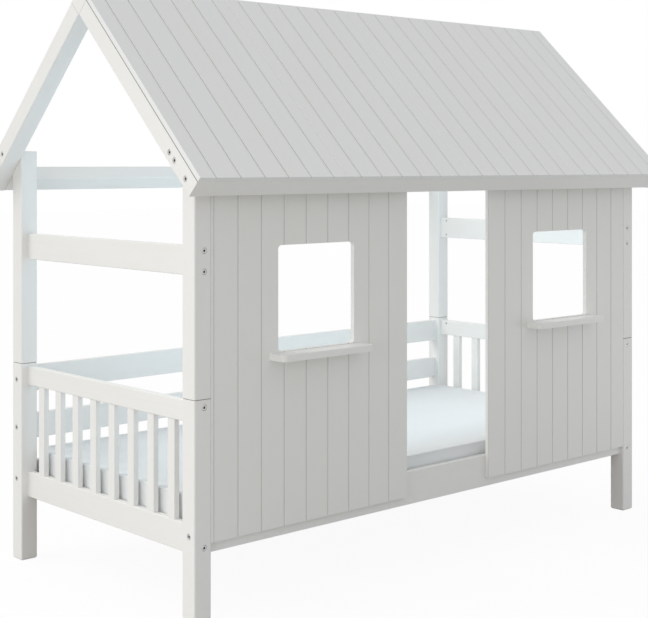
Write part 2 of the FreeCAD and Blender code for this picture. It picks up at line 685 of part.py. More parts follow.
# ---------------------------------------------------------------- timber, drilled for its fixings
def finish(name, blank, *families):
    """Cut every fixing hole that reaches a piece, and keep the piece as a node."""
    doc.recompute()
    reach = blank.Shape.BoundBox
    tools = [c for family in families for c in cutters[family] if c.BoundBox.intersect(reach)]
    if not tools:
        nodes[name] = blank
        return
    drill = doc.addObject("Part::Feature", name + "_holes")
    drill.Shape = tools[0].multiFuse(tools[1:]) if len(tools) > 1 else tools[0]
    nodes[name] = cut(name, blank, drill)


def posts():
    """Four lower posts with the upper posts standing on them."""
    for part, foot, low_end in [("lower_post", "0", "foot_ease"),
                                ("upper_post", "lower_post", "end_ease")]:
        blank = timber(part + "_blank", ("post_wide", "post_wide", part),
                       ("-" + HALF_LONG, "-" + HALF_WIDE, foot), Z, "post_round",
                       ease=(low_end, "end_ease"))
        right = mirrored(part + "_blank_right", blank, X)
        finish(part + "_front_left", blank, "frame", "roof", "wall")
        finish(part + "_front_right", right, "frame", "roof", "wall")
        finish(part + "_back_left", mirrored(part + "_blank_back_left", blank, Y), "frame", "roof")
        finish(part + "_back_right", mirrored(part + "_blank_back_right", right, Y), "frame", "roof")


def ends():
    """Three rails across each end, and upright bars between the lower two."""
    opening = "end_top_z - end_bottom_z - end_bottom_deep"
    board = timber("bar_board", ("bar_thick", "bar_wide", f"{opening} - 2 * fit_clearance"),
                   (f"-{HALF_LONG} + end_rail_inset + bar_set_back",
                    "-bar_wide / 2", "end_bottom_z + end_bottom_deep + fit_clearance"), Z, "fine_round")
    tenon = timber("bar_tenons", ("tenon_thick", "bar_wide - 2 * tenon_shoulder",
                                  f"{opening} + 2 * bar_tenon"),
                   (f"-{HALF_LONG} + end_rail_inset + (end_rail_thick - tenon_thick) / 2",
                    "-bar_wide / 2 + tenon_shoulder", "end_bottom_z + end_bottom_deep - bar_tenon"),
                   Z, "fine_round")
    bar = fused("bar_form", [board, tenon])
    doc.recompute()
    count = int(number("bar_count"))
    gap = number("(bed_width - 2 * post_wide - bar_count * bar_wide) / (bar_count + 1)")
    step = gap + number("bar_wide")
    ys = spread(-step * (count - 1) / 2, step * (count - 1) / 2, count)
    bars = shape_feature("end_bars_left", copies(bar, [Placement(Vector(0, y, 0), Rotation()) for y in ys]))
    nodes["end_bars_left"] = bars
    nodes["end_bars_right"] = mirrored("end_bars_right", bars, X)
    room = number("mortise_clearance")
    box = tenon.Shape.BoundBox
    for side in (LEFT, RIGHT):
        left_edge = box.XMin - room if side == LEFT else -box.XMax - room
        for y in ys:
            corner = Vector(left_edge, y + box.YMin - room, box.ZMin - room)
            cutters["frame"].append(Part.makeBox(box.XLength + 2 * room, box.YLength + 2 * room,
                                                 box.ZLength + 2 * room, corner))
    for part, foot, height in [("end_bottom_rail", "end_bottom_z", "end_bottom_deep"),
                               ("end_top_rail", "end_top_z", "end_top_deep"),
                               ("end_upper_rail", "end_upper_z", "end_upper_deep")]:
        blank = timber(part + "_blank", ("end_rail_thick", "bed_width - 2 * post_wide", height),
                       (f"-{HALF_LONG} + end_rail_inset", f"-{HALF_WIDE} + post_wide", foot),
                       Y, "edge_round")
        finish(part + "_left", blank, "frame")
        finish(part + "_right", mirrored(part + "_blank_right", blank, X), "frame")


def long_rails():
    """Side rails front and back, and the two guard rails along the back."""
    front_y = f"-{RAIL_OUTER}"
    for part, near_y, foot, height, families in [
            ("side_rail_front", front_y, "side_rail_z", "side_rail_deep", ("frame", "wall", "deck")),
            ("side_rail_back", RAIL_INNER, "side_rail_z", "side_rail_deep", ("frame", "deck")),
            ("guard_rail_middle", RAIL_INNER, "guard_middle_z", "guard_middle_deep", ("frame",)),
            ("guard_rail_top", RAIL_INNER, "guard_top_z", "guard_top_deep", ("frame",))]:
        blank = timber(part + "_blank", (RAIL_SPAN, "long_rail_thick", height),
                       ("-" + POST_INNER, near_y, foot), X, "edge_round")
        finish(part, blank, *families)


def lying_surface():
    """Ledges on the side rails, the slats across them and the mattress on top."""
    ledge = timber("ledge_blank", (RAIL_SPAN, "ledge_wide", "ledge_wide"),
                   ("-" + POST_INNER, "-" + RAIL_INNER, "ledge_z"), X, "fine_round")
    finish("slat_ledge_front", ledge, "deck")
    finish("slat_ledge_back", mirrored("ledge_blank_back", ledge, Y), "deck")
    slat = timber("slat_form", ("slat_wide", f"2 * {RAIL_INNER} - 2 * slat_end_gap", "slat_thick"),
                  ("-slat_wide / 2", f"-{RAIL_INNER} + slat_end_gap", "ledge_z + ledge_wide"),
                  Y, "fine_round")
    slats = shape_feature("bed_slats_blank",
                          copies(slat, [Placement(Vector(x, 0, 0), Rotation()) for x in slat_xs]))
    finish("bed_slats", slats, "deck")
    nodes["mattress"] = mattress()


# the mattress's sides: share of its height, and share of mattress_draw that they are drawn in
MATTRESS_SIDES = [(0, 1), (0.06, 0.3), (0.16, 0), (0.5, 0.2), (0.84, 0), (0.94, 0.2), (1, 0.85)]
# its crown: share of the rise, and share of the mattress's width in from its edge
MATTRESS_CROWN = [(0.6, 0.075), (1, 0.235)]


def mattress():
    """A foam mattress: soft edges, drawn-in sides and a low crown."""
    body = doc.addObject("PartDesign::Body", "mattress")
    levels = [(f"{share} * mattress_deep", f"{inset} * mattress_draw") for share, inset in MATTRESS_SIDES]
    levels += [(f"mattress_deep + {share} * mattress_crown", f"{inset} * {MATTRESS_WIDE}")
               for share, inset in MATTRESS_CROWN]
    sections = [rounded_rectangle(body, f"mattress_level_{i}", "XY_Plane",
                                  f"{MATTRESS_LONG} - 2 * {inset}", f"{MATTRESS_WIDE} - 2 * {inset}",
                                  "mattress_corner", ("0", "0", height))
                for i, (height, inset) in enumerate(levels)]
    loft = body.newObject("PartDesign::AdditiveLoft", "mattress_loft")
    loft.Profile = sections[0]
    loft.Sections = sections[1:]
    loft.Ruled = True
    place(body, ("0", "0", f"{DECK_TOP} + mattress_lift"))
    return body


def grooved_sheet(name, wide, thick, high, first_groove, grooves, at, tilt=None):
    """A sheet with upright V grooves in its outer face, which lies on its own plane y = 0."""
    body = doc.addObject("PartDesign::Body", name)
    pad = body.newObject("PartDesign::Pad", name + "_pad")
    pad.Profile = rectangle(body, name + "_section", "XY_Plane", wide, thick)
    bind(pad, "Length", high)
    doc.recompute()
    easing = body.newObject("PartDesign::Chamfer", name + "_easing")
    easing.Base = (pad, edges_along(pad.Shape, Z))
    bind(easing, "Size", "fine_round")
    groove = body.newObject("Sketcher::SketchObject", name + "_groove")
    attach(groove, body, "XY_Plane", (first_groove, "0", "0"))
    half, deep = number("groove_wide / 2"), number("groove_deep")
    closed_lines(groove, [Vector(-half, 0), Vector(half, 0), Vector(0, deep)])
    groove.addConstraint(Sketcher.Constraint("Symmetric", 0, 1, 0, 2, -1, 1))
    groove.addConstraint(Sketcher.Constraint("Horizontal", 0))
    groove.addConstraint(Sketcher.Constraint("PointOnObject", 1, 2, -2))
    dimension(groove, "across", "groove_wide", "DistanceX", 0, 1, 0, 2)
    dimension(groove, "deep", "groove_deep", "DistanceY", 0, 1, 1, 2)
    pocket = body.newObject("PartDesign::Pocket", name + "_pocket")
    pocket.Profile = groove
    pocket.Type = "ThroughAll"
    pocket.Midplane = True
    doc.recompute()
    pattern = body.newObject("PartDesign::LinearPattern", name + "_grooves")
    pattern.Originals = [pocket]
    pattern.Direction = (groove, ["H_Axis"])
    bind(pattern, "Length", f"board_pitch * ({grooves} - 1)")
    pattern.Occurrences = int(number(grooves))
    body.Tip = pattern
    place(body, at, tilt)
    doc.recompute()
    return body


def window(body, name, lap):
    """Cut a window with round corners through a wall sheet."""
    outline = rounded_rectangle(body, name, "XZ_Plane", "window_wide", "window_high", "window_corner",
                                (f"{lap} + window_offset + window_wide / 2",
                                 "window_rise + window_high / 2", "0"))
    opening = body.newObject("PartDesign::Pocket", name + "_opening")
    opening.Profile = outline
    opening.Type = "ThroughAll"
    opening.Midplane = True
    body.Tip = opening


def sill(name, middle):
    """A shelf under a window, with round front corners and softened top edges."""
    body = doc.addObject("PartDesign::Body", name + "_blank")
    pad = body.newObject("PartDesign::Pad", name + "_pad")
    pad.Profile = rectangle(body, name + "_section", "XY_Plane",
                            "window_wide + 2 * sill_overhang", "sill_reach")
    bind(pad, "Length", "sill_thick")
    doc.recompute()
    fronts = [e for e in edges_along(pad.Shape, Z) if pad.Shape.getElement(e).CenterOfMass.y < 1e-6]
    corners = body.newObject("PartDesign::Fillet", name + "_corners")
    corners.Base = (pad, fronts)
    bind(corners, "Radius", "sill_corner")
    doc.recompute()
    top = number("sill_thick")
    back = number("sill_reach")
    lips = [f"Edge{i}" for i, e in enumerate(corners.Shape.Edges, start=1)
            if abs(e.CenterOfMass.z - top) < 1e-6 and e.CenterOfMass.y < back - 1e-6]
    lip = body.newObject("PartDesign::Fillet", name + "_lip")
    lip.Base = (corners, lips)
    bind(lip, "Radius", "fine_round")
    place(body, (f"{middle} - window_wide / 2 - sill_overhang",
                 f"-{RAIL_OUTER} - wall_thick - sill_reach",
                 "wall_z + window_rise - sill_drop - sill_thick"))
    return body


def front_wall():
    """Two grooved sheets with a doorway between them, and the battens behind."""
    lap_corner = Vector(left_sheet[0], wall_back_y, 0) + Vector(-1, -1, -1) * OVERSHOOT
    lap_corner += Vector(0, -number("wall_thick"), number("wall_z"))
    cutters["lap"].append(Part.makeBox(number("wall_left_lap") + OVERSHOOT, number("lap_deep") + OVERSHOOT,
                                       number("wall_high") + 2 * OVERSHOOT, lap_corner))
    for where, left, lap, families in [
            ("left", f"-{POST_INNER} + wall_left_gap", "wall_left_lap", ("wall", "lap")),
            ("right", f"{POST_INNER} - wall_right_gap - wall_right_wide", "0", ("wall",))]:
        blank = grooved_sheet(f"wall_sheet_{where}_blank", f"wall_{where}_wide", "wall_thick", "wall_high",
                              f"{lap} + board_pitch", "wall_grooves",
                              (left, f"-{RAIL_OUTER} - wall_thick", "wall_z"))
        window(blank, f"window_{where}", lap)
        finish(f"wall_sheet_{where}", blank, *families)
        shelf = sill(f"window_sill_{where}", f"{left} + {lap} + window_offset + window_wide / 2")
        finish(f"window_sill_{where}", shelf, "wall")
    cleat = timber("cleat_blank", ("cleat_wide", "cleat_thick", f"batten_z - {SIDE_TOP}"),
                   ("-" + POST_INNER, "-" + RAIL_OUTER, SIDE_TOP), Z, "fine_round")
    finish("wall_cleat_left", cleat, "wall")
    finish("wall_cleat_right", mirrored("cleat_blank_right", cleat, X), "wall")
    batten = timber("batten_blank", (RAIL_SPAN, "cleat_thick", "batten_high"),
                    ("-" + POST_INNER, "-" + RAIL_OUTER, "batten_z"), X, "fine_round")
    finish("wall_top_batten", batten, "wall")


def ridge_beam():
    """A beam whose upper faces carry both slopes and whose lower faces meet the rafters square."""
    body = doc.addObject("PartDesign::Body", "ridge_beam_blank")
    sketch = body.newObject("Sketcher::SketchObject", "ridge_section")
    attach(sketch, body, "YZ_Plane")
    out = number("roof_beam * cos(roof_angle)")
    down = number("roof_beam * sin(roof_angle)")
    deep = number("roof_beam / sin(roof_angle)")
    closed_lines(sketch, [Vector(0, 0), Vector(out, -down), Vector(0, -deep), Vector(-out, -down)])
    sketch.addConstraint(Sketcher.Constraint("Coincident", 0, 1, -1, 1))
    sketch.addConstraint(Sketcher.Constraint("Symmetric", 0, 2, 2, 2, -2))
    sketch.addConstraint(Sketcher.Constraint("PointOnObject", 1, 2, -2))
    sketch.addConstraint(Sketcher.Constraint("Perpendicular", 0, 1))
    dimension(sketch, "out", "roof_beam * cos(roof_angle)", "DistanceX", 0, 1, 0, 2)
    dimension(sketch, "down", "roof_beam * sin(roof_angle)", "DistanceY", 0, 2, 0, 1)
    pad = body.newObject("PartDesign::Pad", "ridge_pad")
    pad.Profile = sketch
    pad.Midplane = True
    bind(pad, "Length", "bed_length + 2 * rafter_wide")
    place(body, ("0", "0", APEX_Z))
    return body


def roof():
    """Rafters on the posts, beams along the ridge and both eaves, and sheets on the front slope."""
    foot_y = f"-{EAVES_OUT} + roof_beam * sin(roof_angle)"
    foot_z = f"{EAVES_Z} - roof_beam * cos(roof_angle)"
    rafter = timber("rafter_blank", ("rafter_wide", f"{SLOPE_LENGTH} - roof_beam", "roof_beam"),
                    (f"-{HALF_LONG} - rafter_wide", foot_y, foot_z), Y, "edge_round", tilt="roof_angle")
    right = mirrored("rafter_blank_right", rafter, X)
    finish("rafter_front_left", rafter, "roof", "ridge")
    finish("rafter_front_right", right, "roof", "ridge")
    finish("rafter_back_left", mirrored("rafter_blank_back_left", rafter, Y), "roof", "ridge")
    finish("rafter_back_right", mirrored("rafter_blank_back_right", right, Y), "roof", "ridge")
    beam = timber("eaves_beam_blank", ("bed_length", "roof_beam", "roof_beam"),
                  ("-" + HALF_LONG, foot_y, foot_z), X, "edge_round", tilt="roof_angle")
    finish("eaves_beam_front", beam, "roof")
    finish("eaves_beam_back", mirrored("eaves_beam_blank_back", beam, Y), "roof")
    finish("ridge_beam", ridge_beam(), "roof", "ridge")
    pitch = "(bed_length + 2 * rafter_wide) / roof_sheets"
    wide = f"({pitch} - sheet_joint)"
    first_groove = f"({wide} - board_pitch * (roof_grooves - 1)) / 2"
    outer_y = f"-{EAVES_OUT} - roof_thick * sin(roof_angle)"
    outer_z = f"{EAVES_Z} + roof_thick * cos(roof_angle)"
    for i in range(int(number("roof_sheets"))):
        left = f"-{HALF_LONG} - rafter_wide + sheet_joint / 2 + {i} * {pitch}"
        blank = grooved_sheet(f"roof_sheet_blank_{i + 1}", wide, "roof_thick", SLOPE_LENGTH,
                              first_groove, "roof_grooves", (left, outer_y, outer_z),
                              tilt="roof_angle - 90")
        finish(f"roof_sheet_{i + 1}", blank, "roof")


ends()
posts()
long_rails()
lying_surface()
front_wall()
roof()
doc.recompute()

# ---------------------------------------------------------------- tests and output
for item in doc.Objects:
    if "Invalid" in item.State or "Error" in item.State:
        raise RuntimeError(f"{item.Label} did not rebuild: {item.State}")
for name, item in nodes.items():
    item.Label = name
    if item.Shape.isNull() or not item.Shape.isValid() or item.Shape.Volume <= 0:
        raise RuntimeError(f"{name} has no valid solid")

os.makedirs("parts", exist_ok=True)
for name, item in nodes.items():
    item.Shape.exportStep(f"parts/{name}.step")
    print(f"{name}: {len(item.Shape.Solids)} solid(s), {item.Shape.Volume / 1000:.1f} cm3")
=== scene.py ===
import math

import bmesh
import bpy
import numpy
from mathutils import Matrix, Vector
from mathutils.bvhtree import BVHTree


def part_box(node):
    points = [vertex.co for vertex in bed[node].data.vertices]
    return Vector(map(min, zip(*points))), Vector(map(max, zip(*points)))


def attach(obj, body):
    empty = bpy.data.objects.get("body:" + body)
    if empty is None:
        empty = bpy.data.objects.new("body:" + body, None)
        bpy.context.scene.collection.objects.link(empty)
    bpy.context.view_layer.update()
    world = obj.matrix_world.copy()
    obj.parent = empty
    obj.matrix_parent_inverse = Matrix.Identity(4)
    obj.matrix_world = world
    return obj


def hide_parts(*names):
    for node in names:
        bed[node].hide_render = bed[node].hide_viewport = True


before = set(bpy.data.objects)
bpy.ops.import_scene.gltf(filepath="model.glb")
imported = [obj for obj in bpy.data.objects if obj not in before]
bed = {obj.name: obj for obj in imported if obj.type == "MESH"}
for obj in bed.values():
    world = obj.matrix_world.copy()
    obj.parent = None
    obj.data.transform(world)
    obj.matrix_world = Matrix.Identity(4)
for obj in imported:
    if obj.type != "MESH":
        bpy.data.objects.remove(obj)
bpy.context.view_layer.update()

# ------------------------------------------------------------------ camera
# A long lens a little over the height of the mattress, turned to the bed's front left corner.
# The view is level, and shifted down so that upright timbers stay upright in the picture.
camera_data = bpy.data.cameras.new("camera")
camera_data.sensor_width = 36
camera_data.lens = 75.42
camera_data.shift_x = -0.0023
camera_data.shift_y = -0.2233


def shown(name, data):
    """A new object, linked into the scene."""
    piece = bpy.data.objects.new(name, data)
    bpy.context.scene.collection.objects.link(piece)
    return piece


camera = shown("camera", camera_data)
camera.location = (-3.3506, -3.6003, 1.3285)
camera.rotation_euler = (math.radians(90), 0, math.radians(-42.2))
bpy.context.scene.camera = camera

# ------------------------------------------------------------------ room and lamps
# A white photographic cove: a white floor that runs into a white background, soft light from
# all round, one wide lamp high up behind the bed's left end, weaker ones off its left end and
# front right corner, and two bluish ones inside it that light what faces the front.
bpy.context.scene.view_settings.view_transform = "Standard"

SKY_LIGHT = (0.990, 1.0, 1.005)
SKY_LEVEL = 0.63
KEY_TOWARDS = Vector((-0.357, 0.260, 0.390))
KEY_LEVEL = 1.15
KEY_SPREAD = math.radians(42)
KEY_COLOUR = (1.0, 0.985, 0.935)
FLOOR_HALF = 30.0
FLOOR_SHADE = (0.49, 0.49, 0.485)
FLOOR_PALE = (0.97, 0.97, 0.97)
FLOOR_GLOW = 0.94
FILL_BLUE = (0.62, 0.85, 1.0)


def link(tree, output, target):
    tree.links.new(output, target)


def white_where_seen(tree, seen, unseen, output):
    """Show one shader to the camera, mirrors and glass, and light the bed with the other."""
    path = tree.nodes.new("ShaderNodeLightPath")
    gloss = tree.nodes.new("ShaderNodeMath")
    gloss.operation = "MAXIMUM"
    link(tree, path.outputs["Is Camera Ray"], gloss.inputs[0])
    link(tree, path.outputs["Is Glossy Ray"], gloss.inputs[1])
    clear = tree.nodes.new("ShaderNodeMath")
    clear.operation = "MAXIMUM"
    link(tree, gloss.outputs[0], clear.inputs[0])
    link(tree, path.outputs["Is Transmission Ray"], clear.inputs[1])
    mix = tree.nodes.new("ShaderNodeMixShader")
    link(tree, clear.outputs[0], mix.inputs[0])
    link(tree, unseen, mix.inputs[1])
    link(tree, seen, mix.inputs[2])
    link(tree, mix.outputs[0], output)


world = bpy.data.worlds.new("cove")
bpy.context.scene.world = world
world.use_nodes = True
world.node_tree.nodes.clear()
white = world.node_tree.nodes.new("ShaderNodeBackground")
white.inputs["Strength"].default_value = 1.0
sky = world.node_tree.nodes.new("ShaderNodeBackground")
sky.inputs["Color"].default_value = (*SKY_LIGHT, 1)
sky.inputs["Strength"].default_value = SKY_LEVEL
white.inputs["Color"].default_value = (1, 1, 1, 1)
world_out = world.node_tree.nodes.new("ShaderNodeOutputWorld")
white_where_seen(world.node_tree, white.outputs[0], sky.outputs[0], world_out.inputs["Surface"])

floor_mesh = bpy.data.meshes.new("floor")
floor_mesh.from_pydata([(-FLOOR_HALF, -FLOOR_HALF, 0), (FLOOR_HALF, -FLOOR_HALF, 0),
                        (FLOOR_HALF, FLOOR_HALF, 0), (-FLOOR_HALF, FLOOR_HALF, 0)], [], [(0, 1, 2, 3)])
floor = shown("floor", floor_mesh)
floor_paint = bpy.data.materials.new("cove_floor")
floor_paint.use_nodes = True
floor_paint.node_tree.nodes.clear()
floor_tree = floor_paint.node_tree
shade = floor_tree.nodes.new("ShaderNodeBsdfDiffuse")
shade.inputs["Color"].default_value = (*FLOOR_SHADE, 1)
pale = floor_tree.nodes.new("ShaderNodeBsdfDiffuse")
pale.inputs["Color"].default_value = (*FLOOR_PALE, 1)
glow = floor_tree.nodes.new("ShaderNodeEmission")
glow.inputs["Color"].default_value = (1, 1, 1, 1)
lit_floor = floor_tree.nodes.new("ShaderNodeMixShader")
lit_floor.inputs[0].default_value = FLOOR_GLOW
link(floor_tree, pale.outputs[0], lit_floor.inputs[1])
link(floor_tree, glow.outputs[0], lit_floor.inputs[2])
floor_out = floor_tree.nodes.new("ShaderNodeOutputMaterial")
white_where_seen(floor_tree, lit_floor.outputs[0], shade.outputs[0], floor_out.inputs["Surface"])
floor_mesh.materials.append(floor_paint)

key_data = bpy.data.lights.new("wide_lamp", "SUN")
key_data.energy = KEY_LEVEL
key_data.angle = KEY_SPREAD
key_data.color = KEY_COLOUR
key = shown("wide_lamp", key_data)
key.rotation_euler = KEY_TOWARDS.to_track_quat("Z", "Y").to_euler()


def soft_lamp(name, spot, facing, size, power, colour):
    """A flat lamp that the camera does not see."""
    data = bpy.data.lights.new(name, "AREA")
    data.shape = "RECTANGLE"
    data.size, data.size_y = size
    data.energy = power
    data.color = colour
    lamp = shown(name, data)
    lamp.location = spot
    lamp.rotation_euler = (-Vector(facing)).to_track_quat("Z", "Y").to_euler()
    lamp.visible_camera = False


soft_lamp("right_fill", (2.3, -1.9, 0.45), (-0.66, 0.75, 0), (1.2, 0.9), 3.8, (0.95, 0.98, 1.0))
soft_lamp("left_fill", (-4.5, -1.6, 1.2), (0.92, 0.40, 0), (2.5, 1.6), 28.5, (1.0, 0.985, 0.95))
soft_lamp("inside_fill", (0.0, -0.44, 0.95), (0, 1, 0), (1.9, 0.66), 3.8, FILL_BLUE)
soft_lamp("roof_fill", (0.0, -0.10, 1.25), (0, 0.8, 0.6), (2.0, 0.3), 1.5, FILL_BLUE)

# ------------------------------------------------------------------ posts
# Four lower posts with four upper ones stood on them: planed pine, 60 mm square, with their
# edges rounded over, sprayed with a satin white lacquer that lets a little of the grain through.
UPRIGHT = (0, math.radians(90), 0)
WHITE = (0.865, 0.862, 0.850)
WHITE_THIN = (0.835, 0.818, 0.780)
# Painted shadow: a thin dark line along each joint between two pieces, in place of the shade in the gap.
JOINT_WIDE = 0.0018
JOINT_CORE, JOINT_FADED = 0.35 * JOINT_WIDE, 0.65 * JOINT_WIDE
JOINT_PAINTED_SHADOW = (0.250, 0.240, 0.230)
GABLE_FACING = (0.25, 0.35)
POST_JOINT = 0.660
LACQUER_RELIEF = (0.0004, 0.35)


def group_of(name, sockets_in, sockets_out):
    """A shader node group with named inputs and outputs."""
    group = bpy.data.node_groups.new(name, "ShaderNodeTree")
    for label, kind, value in sockets_in:
        socket = group.interface.new_socket(name=label, in_out="INPUT", socket_type=kind)
        if value is not None:
            socket.default_value = value
    for label, kind in sockets_out:
        group.interface.new_socket(name=label, in_out="OUTPUT", socket_type=kind)
    return group, group.nodes.new("NodeGroupInput"), group.nodes.new("NodeGroupOutput")


def reckon(tree, operation, first, second=None, third=None):
    """A Math node; each operand is an output socket or a number."""
    node = tree.nodes.new("ShaderNodeMath")
    node.operation = operation
    for i, operand in enumerate((first, second, third)):
        if operand is None:
            continue
        if isinstance(operand, (int, float)):
            node.inputs[i].default_value = operand
        else:
            link(tree, operand, node.inputs[i])
    return node.outputs[0]


def streaks(tree, vector, stretch, detail, distortion):
    """Noise drawn out along the first axis of a vector."""
    place = tree.nodes.new("ShaderNodeMapping")
    place.inputs["Scale"].default_value = stretch
    link(tree, vector, place.inputs["Vector"])
    noise = tree.nodes.new("ShaderNodeTexNoise")
    noise.inputs["Scale"].default_value = 1.0
    noise.inputs["Detail"].default_value = detail
    noise.inputs["Distortion"].default_value = distortion
    link(tree, place.outputs[0], noise.inputs["Vector"])
    return noise.outputs["Fac"]


def blended(tree, factor, first, second):
    """A colour between two, by a factor socket."""
    mix = tree.nodes.new("ShaderNodeMix")
    mix.data_type = "RGBA"
    link(tree, factor, mix.inputs["Factor"])
    for socket, colour in ((mix.inputs[6], first), (mix.inputs[7], second)):
        if isinstance(colour, tuple):
            socket.default_value = (*colour, 1)
        else:
            link(tree, colour, socket)
    return mix.outputs[2]


def ranged(tree, value, low, high, to_low, to_high):
    """A value moved from one range to another, and kept inside it."""
    node = tree.nodes.new("ShaderNodeMapRange")
    for name, amount in (("From Min", low), ("From Max", high), ("To Min", to_low), ("To Max", to_high)):
        node.inputs[name].default_value = amount
    link(tree, value, node.inputs["Value"])
    return node.outputs[0]


def grouped(tree, group, values):
    """A group's node with its inputs set; a value is a number, a colour or an output socket."""
    node = tree.nodes.new("ShaderNodeGroup")
    node.node_tree = group
    for name, value in values.items():
        if isinstance(value, bpy.types.NodeSocket):
            link(tree, value, node.inputs[name])
        elif isinstance(value, tuple):
            node.inputs[name].default_value = (*value, 1)
        else:
            node.inputs[name].default_value = value
    return node


def lacquered_grain():
    """Grain that shows faintly through lacquer, along the first axis of its vector."""
    group, given, result = group_of(
        "lacquered_grain",
        [("Grain", "NodeSocketVector", None), ("Colour", "NodeSocketColor", (*WHITE, 1)),
         ("Thin Colour", "NodeSocketColor", (*WHITE_THIN, 1)), ("Showing", "NodeSocketFloat", 1.0)],
        [("Colour", "NodeSocketColor"), ("Roughness", "NodeSocketFloat"), ("Height", "NodeSocketFloat")])
    grain = given.outputs["Grain"]
    fibres = streaks(group, grain, (9, 420, 420), 3, 0.2)
    rings = streaks(group, grain, (1.6, 46, 46), 5, 1.4)
    clouds = streaks(group, grain, (2.2, 6, 6), 3, 0.5)
    lines = ranged(group, rings, 0.42, 0.66, 0, 1)
    patches = ranged(group, clouds, 0.35, 0.7, 0, 1)
    thin = reckon(group, "MULTIPLY", reckon(group, "MULTIPLY_ADD", patches, 0.22,
                                            reckon(group, "MULTIPLY", lines, 0.16)),
                  given.outputs["Showing"])
    link(group, blended(group, thin, given.outputs["Colour"], given.outputs["Thin Colour"]),
         result.inputs["Colour"])
    rough = reckon(group, "MULTIPLY_ADD", fibres, 0.16, 0.36)
    link(group, reckon(group, "MULTIPLY_ADD", patches, 0.05, rough), result.inputs["Roughness"])
    depth = reckon(group, "MULTIPLY_ADD", fibres, 0.35, reckon(group, "MULTIPLY", lines, 0.5))
    link(group, reckon(group, "MULTIPLY", depth, given.outputs["Showing"]), result.inputs["Height"])
    return group


LACQUER = lacquered_grain()


def surface(name):
    """A new material, its node tree and its Principled shader."""
    material = bpy.data.materials.new(name)
    material.use_nodes = True
    return material, material.node_tree, material.node_tree.nodes["Principled BSDF"]


def along_grain(tree, turn):
    """Object coordinates, turned so that the grain runs along the first axis."""
    where = tree.nodes.new("ShaderNodeTexCoord")
    turned = tree.nodes.new("ShaderNodeMapping")
    turned.inputs["Rotation"].default_value = turn
    link(tree, where.outputs["Object"], turned.inputs["Vector"])
    return turned.outputs[0]


def relief(tree, shader, height, depth, strength):
    """Raise a surface by a height socket, at most by a depth in metres."""
    bump = tree.nodes.new("ShaderNodeBump")
    bump.inputs["Distance"].default_value = depth
    bump.inputs["Strength"].default_value = strength
    link(tree, height, bump.inputs["Height"])
    link(tree, bump.outputs[0], shader.inputs["Normal"])


def joint_shadow_lines(tree, place, joints, gable_only):
    """A mask for painted shadow: one line along each joint, as wide as a line, and nothing elsewhere."""
    parts = tree.nodes.new("ShaderNodeSeparateXYZ")
    link(tree, place, parts.inputs[0])
    lines = None
    for axis, position in joints:
        off = reckon(tree, "ABSOLUTE", reckon(tree, "SUBTRACT", parts.outputs[axis], position))
        line = ranged(tree, off, JOINT_CORE, JOINT_FADED, 1, 0)
        lines = line if lines is None else reckon(tree, "MAXIMUM", lines, line)
    if gable_only:
        facing = tree.nodes.new("ShaderNodeNewGeometry")
        sides = tree.nodes.new("ShaderNodeSeparateXYZ")
        link(tree, facing.outputs["True Normal"], sides.inputs[0])
        gable = ranged(tree, reckon(tree, "ABSOLUTE", sides.outputs["X"]), *GABLE_FACING, 0, 1)
        lines = reckon(tree, "MULTIPLY", lines, gable)
    return lines


def lacquered(name, turn, showing=1.0, joints=(), gable_only=False):
    """White lacquer over wood whose grain runs along the turned first axis, with painted shadow along the
    joints given.
    """
    material, tree, shader = surface(name)
    grain = along_grain(tree, turn)
    coat = grouped(tree, LACQUER, {"Grain": grain, "Colour": WHITE, "Showing": showing})
    colour = coat.outputs["Colour"]
    if joints:
        # Painted shadow darkens the lacquer along each joint.
        colour = blended(tree, joint_shadow_lines(tree, grain, joints, gable_only), colour, JOINT_PAINTED_SHADOW)
    link(tree, colour, shader.inputs["Base Color"])
    link(tree, coat.outputs["Roughness"], shader.inputs["Roughness"])
    relief(tree, shader, coat.outputs["Height"], *LACQUER_RELIEF)
    return material


def dress(material, *names):
    """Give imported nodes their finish."""
    for name in names:
        mesh = bed[name].data
        mesh.materials.clear()
        mesh.materials.append(material)


CORNERS = ("front_left", "front_right", "back_left", "back_right")
upright_white = lacquered("white_lacquer_upright", UPRIGHT)
# The posts carry a painted shadow line round the joint where the upper posts stand on the lower ones.
post_white = lacquered("white_lacquer_posts", UPRIGHT, joints=[("X", POST_JOINT)])
dress(post_white, *(f"{part}_post_{corner}" for part in ("lower", "upper") for corner in CORNERS))

# ------------------------------------------------------------------ ends
# Three rails across each end, bolted between the posts, and eight flat bars tenoned into the
# lower two: the same lacquered pine, with the grain of each rail running across the bed.
ACROSS = (0, 0, math.radians(-90))
across_white = lacquered("white_lacquer_across", ACROSS)
END_RAILS = ("end_bottom_rail", "end_top_rail", "end_upper_rail")
dress(across_white, *(f"{rail}_{end}" for rail in END_RAILS for end in ("left", "right")))
bar_white = lacquered("white_lacquer_bars", UPRIGHT, showing=1.2)
dress(bar_white, "end_bars_left", "end_bars_right")

# ------------------------------------------------------------------ long rails
# A side rail front and back, and two guard rails along the back, bolted between the posts.
# Lacquered pine boards 23 mm thick, their grain running the length of the bed.
ALONG = (0, 0, 0)
along_white = lacquered("white_lacquer_along", ALONG)
dress(along_white, "side_rail_front", "side_rail_back", "guard_rail_middle", "guard_rail_top")

# ------------------------------------------------------------------ slatted base
# Fifteen slats screwed down on a ledge along each side rail, and the beech dowels in the joints.
# Bare planed wood, left without a finish: pale, with darker growth rings.
PINE_PALE = (0.760, 0.610, 0.410)
PINE_DARK = (0.560, 0.375, 0.195)
BEECH_PALE, BEECH_DARK = (0.700, 0.500, 0.330), (0.560, 0.370, 0.220)
PLANED_RELIEF = (0.0005, 0.4)


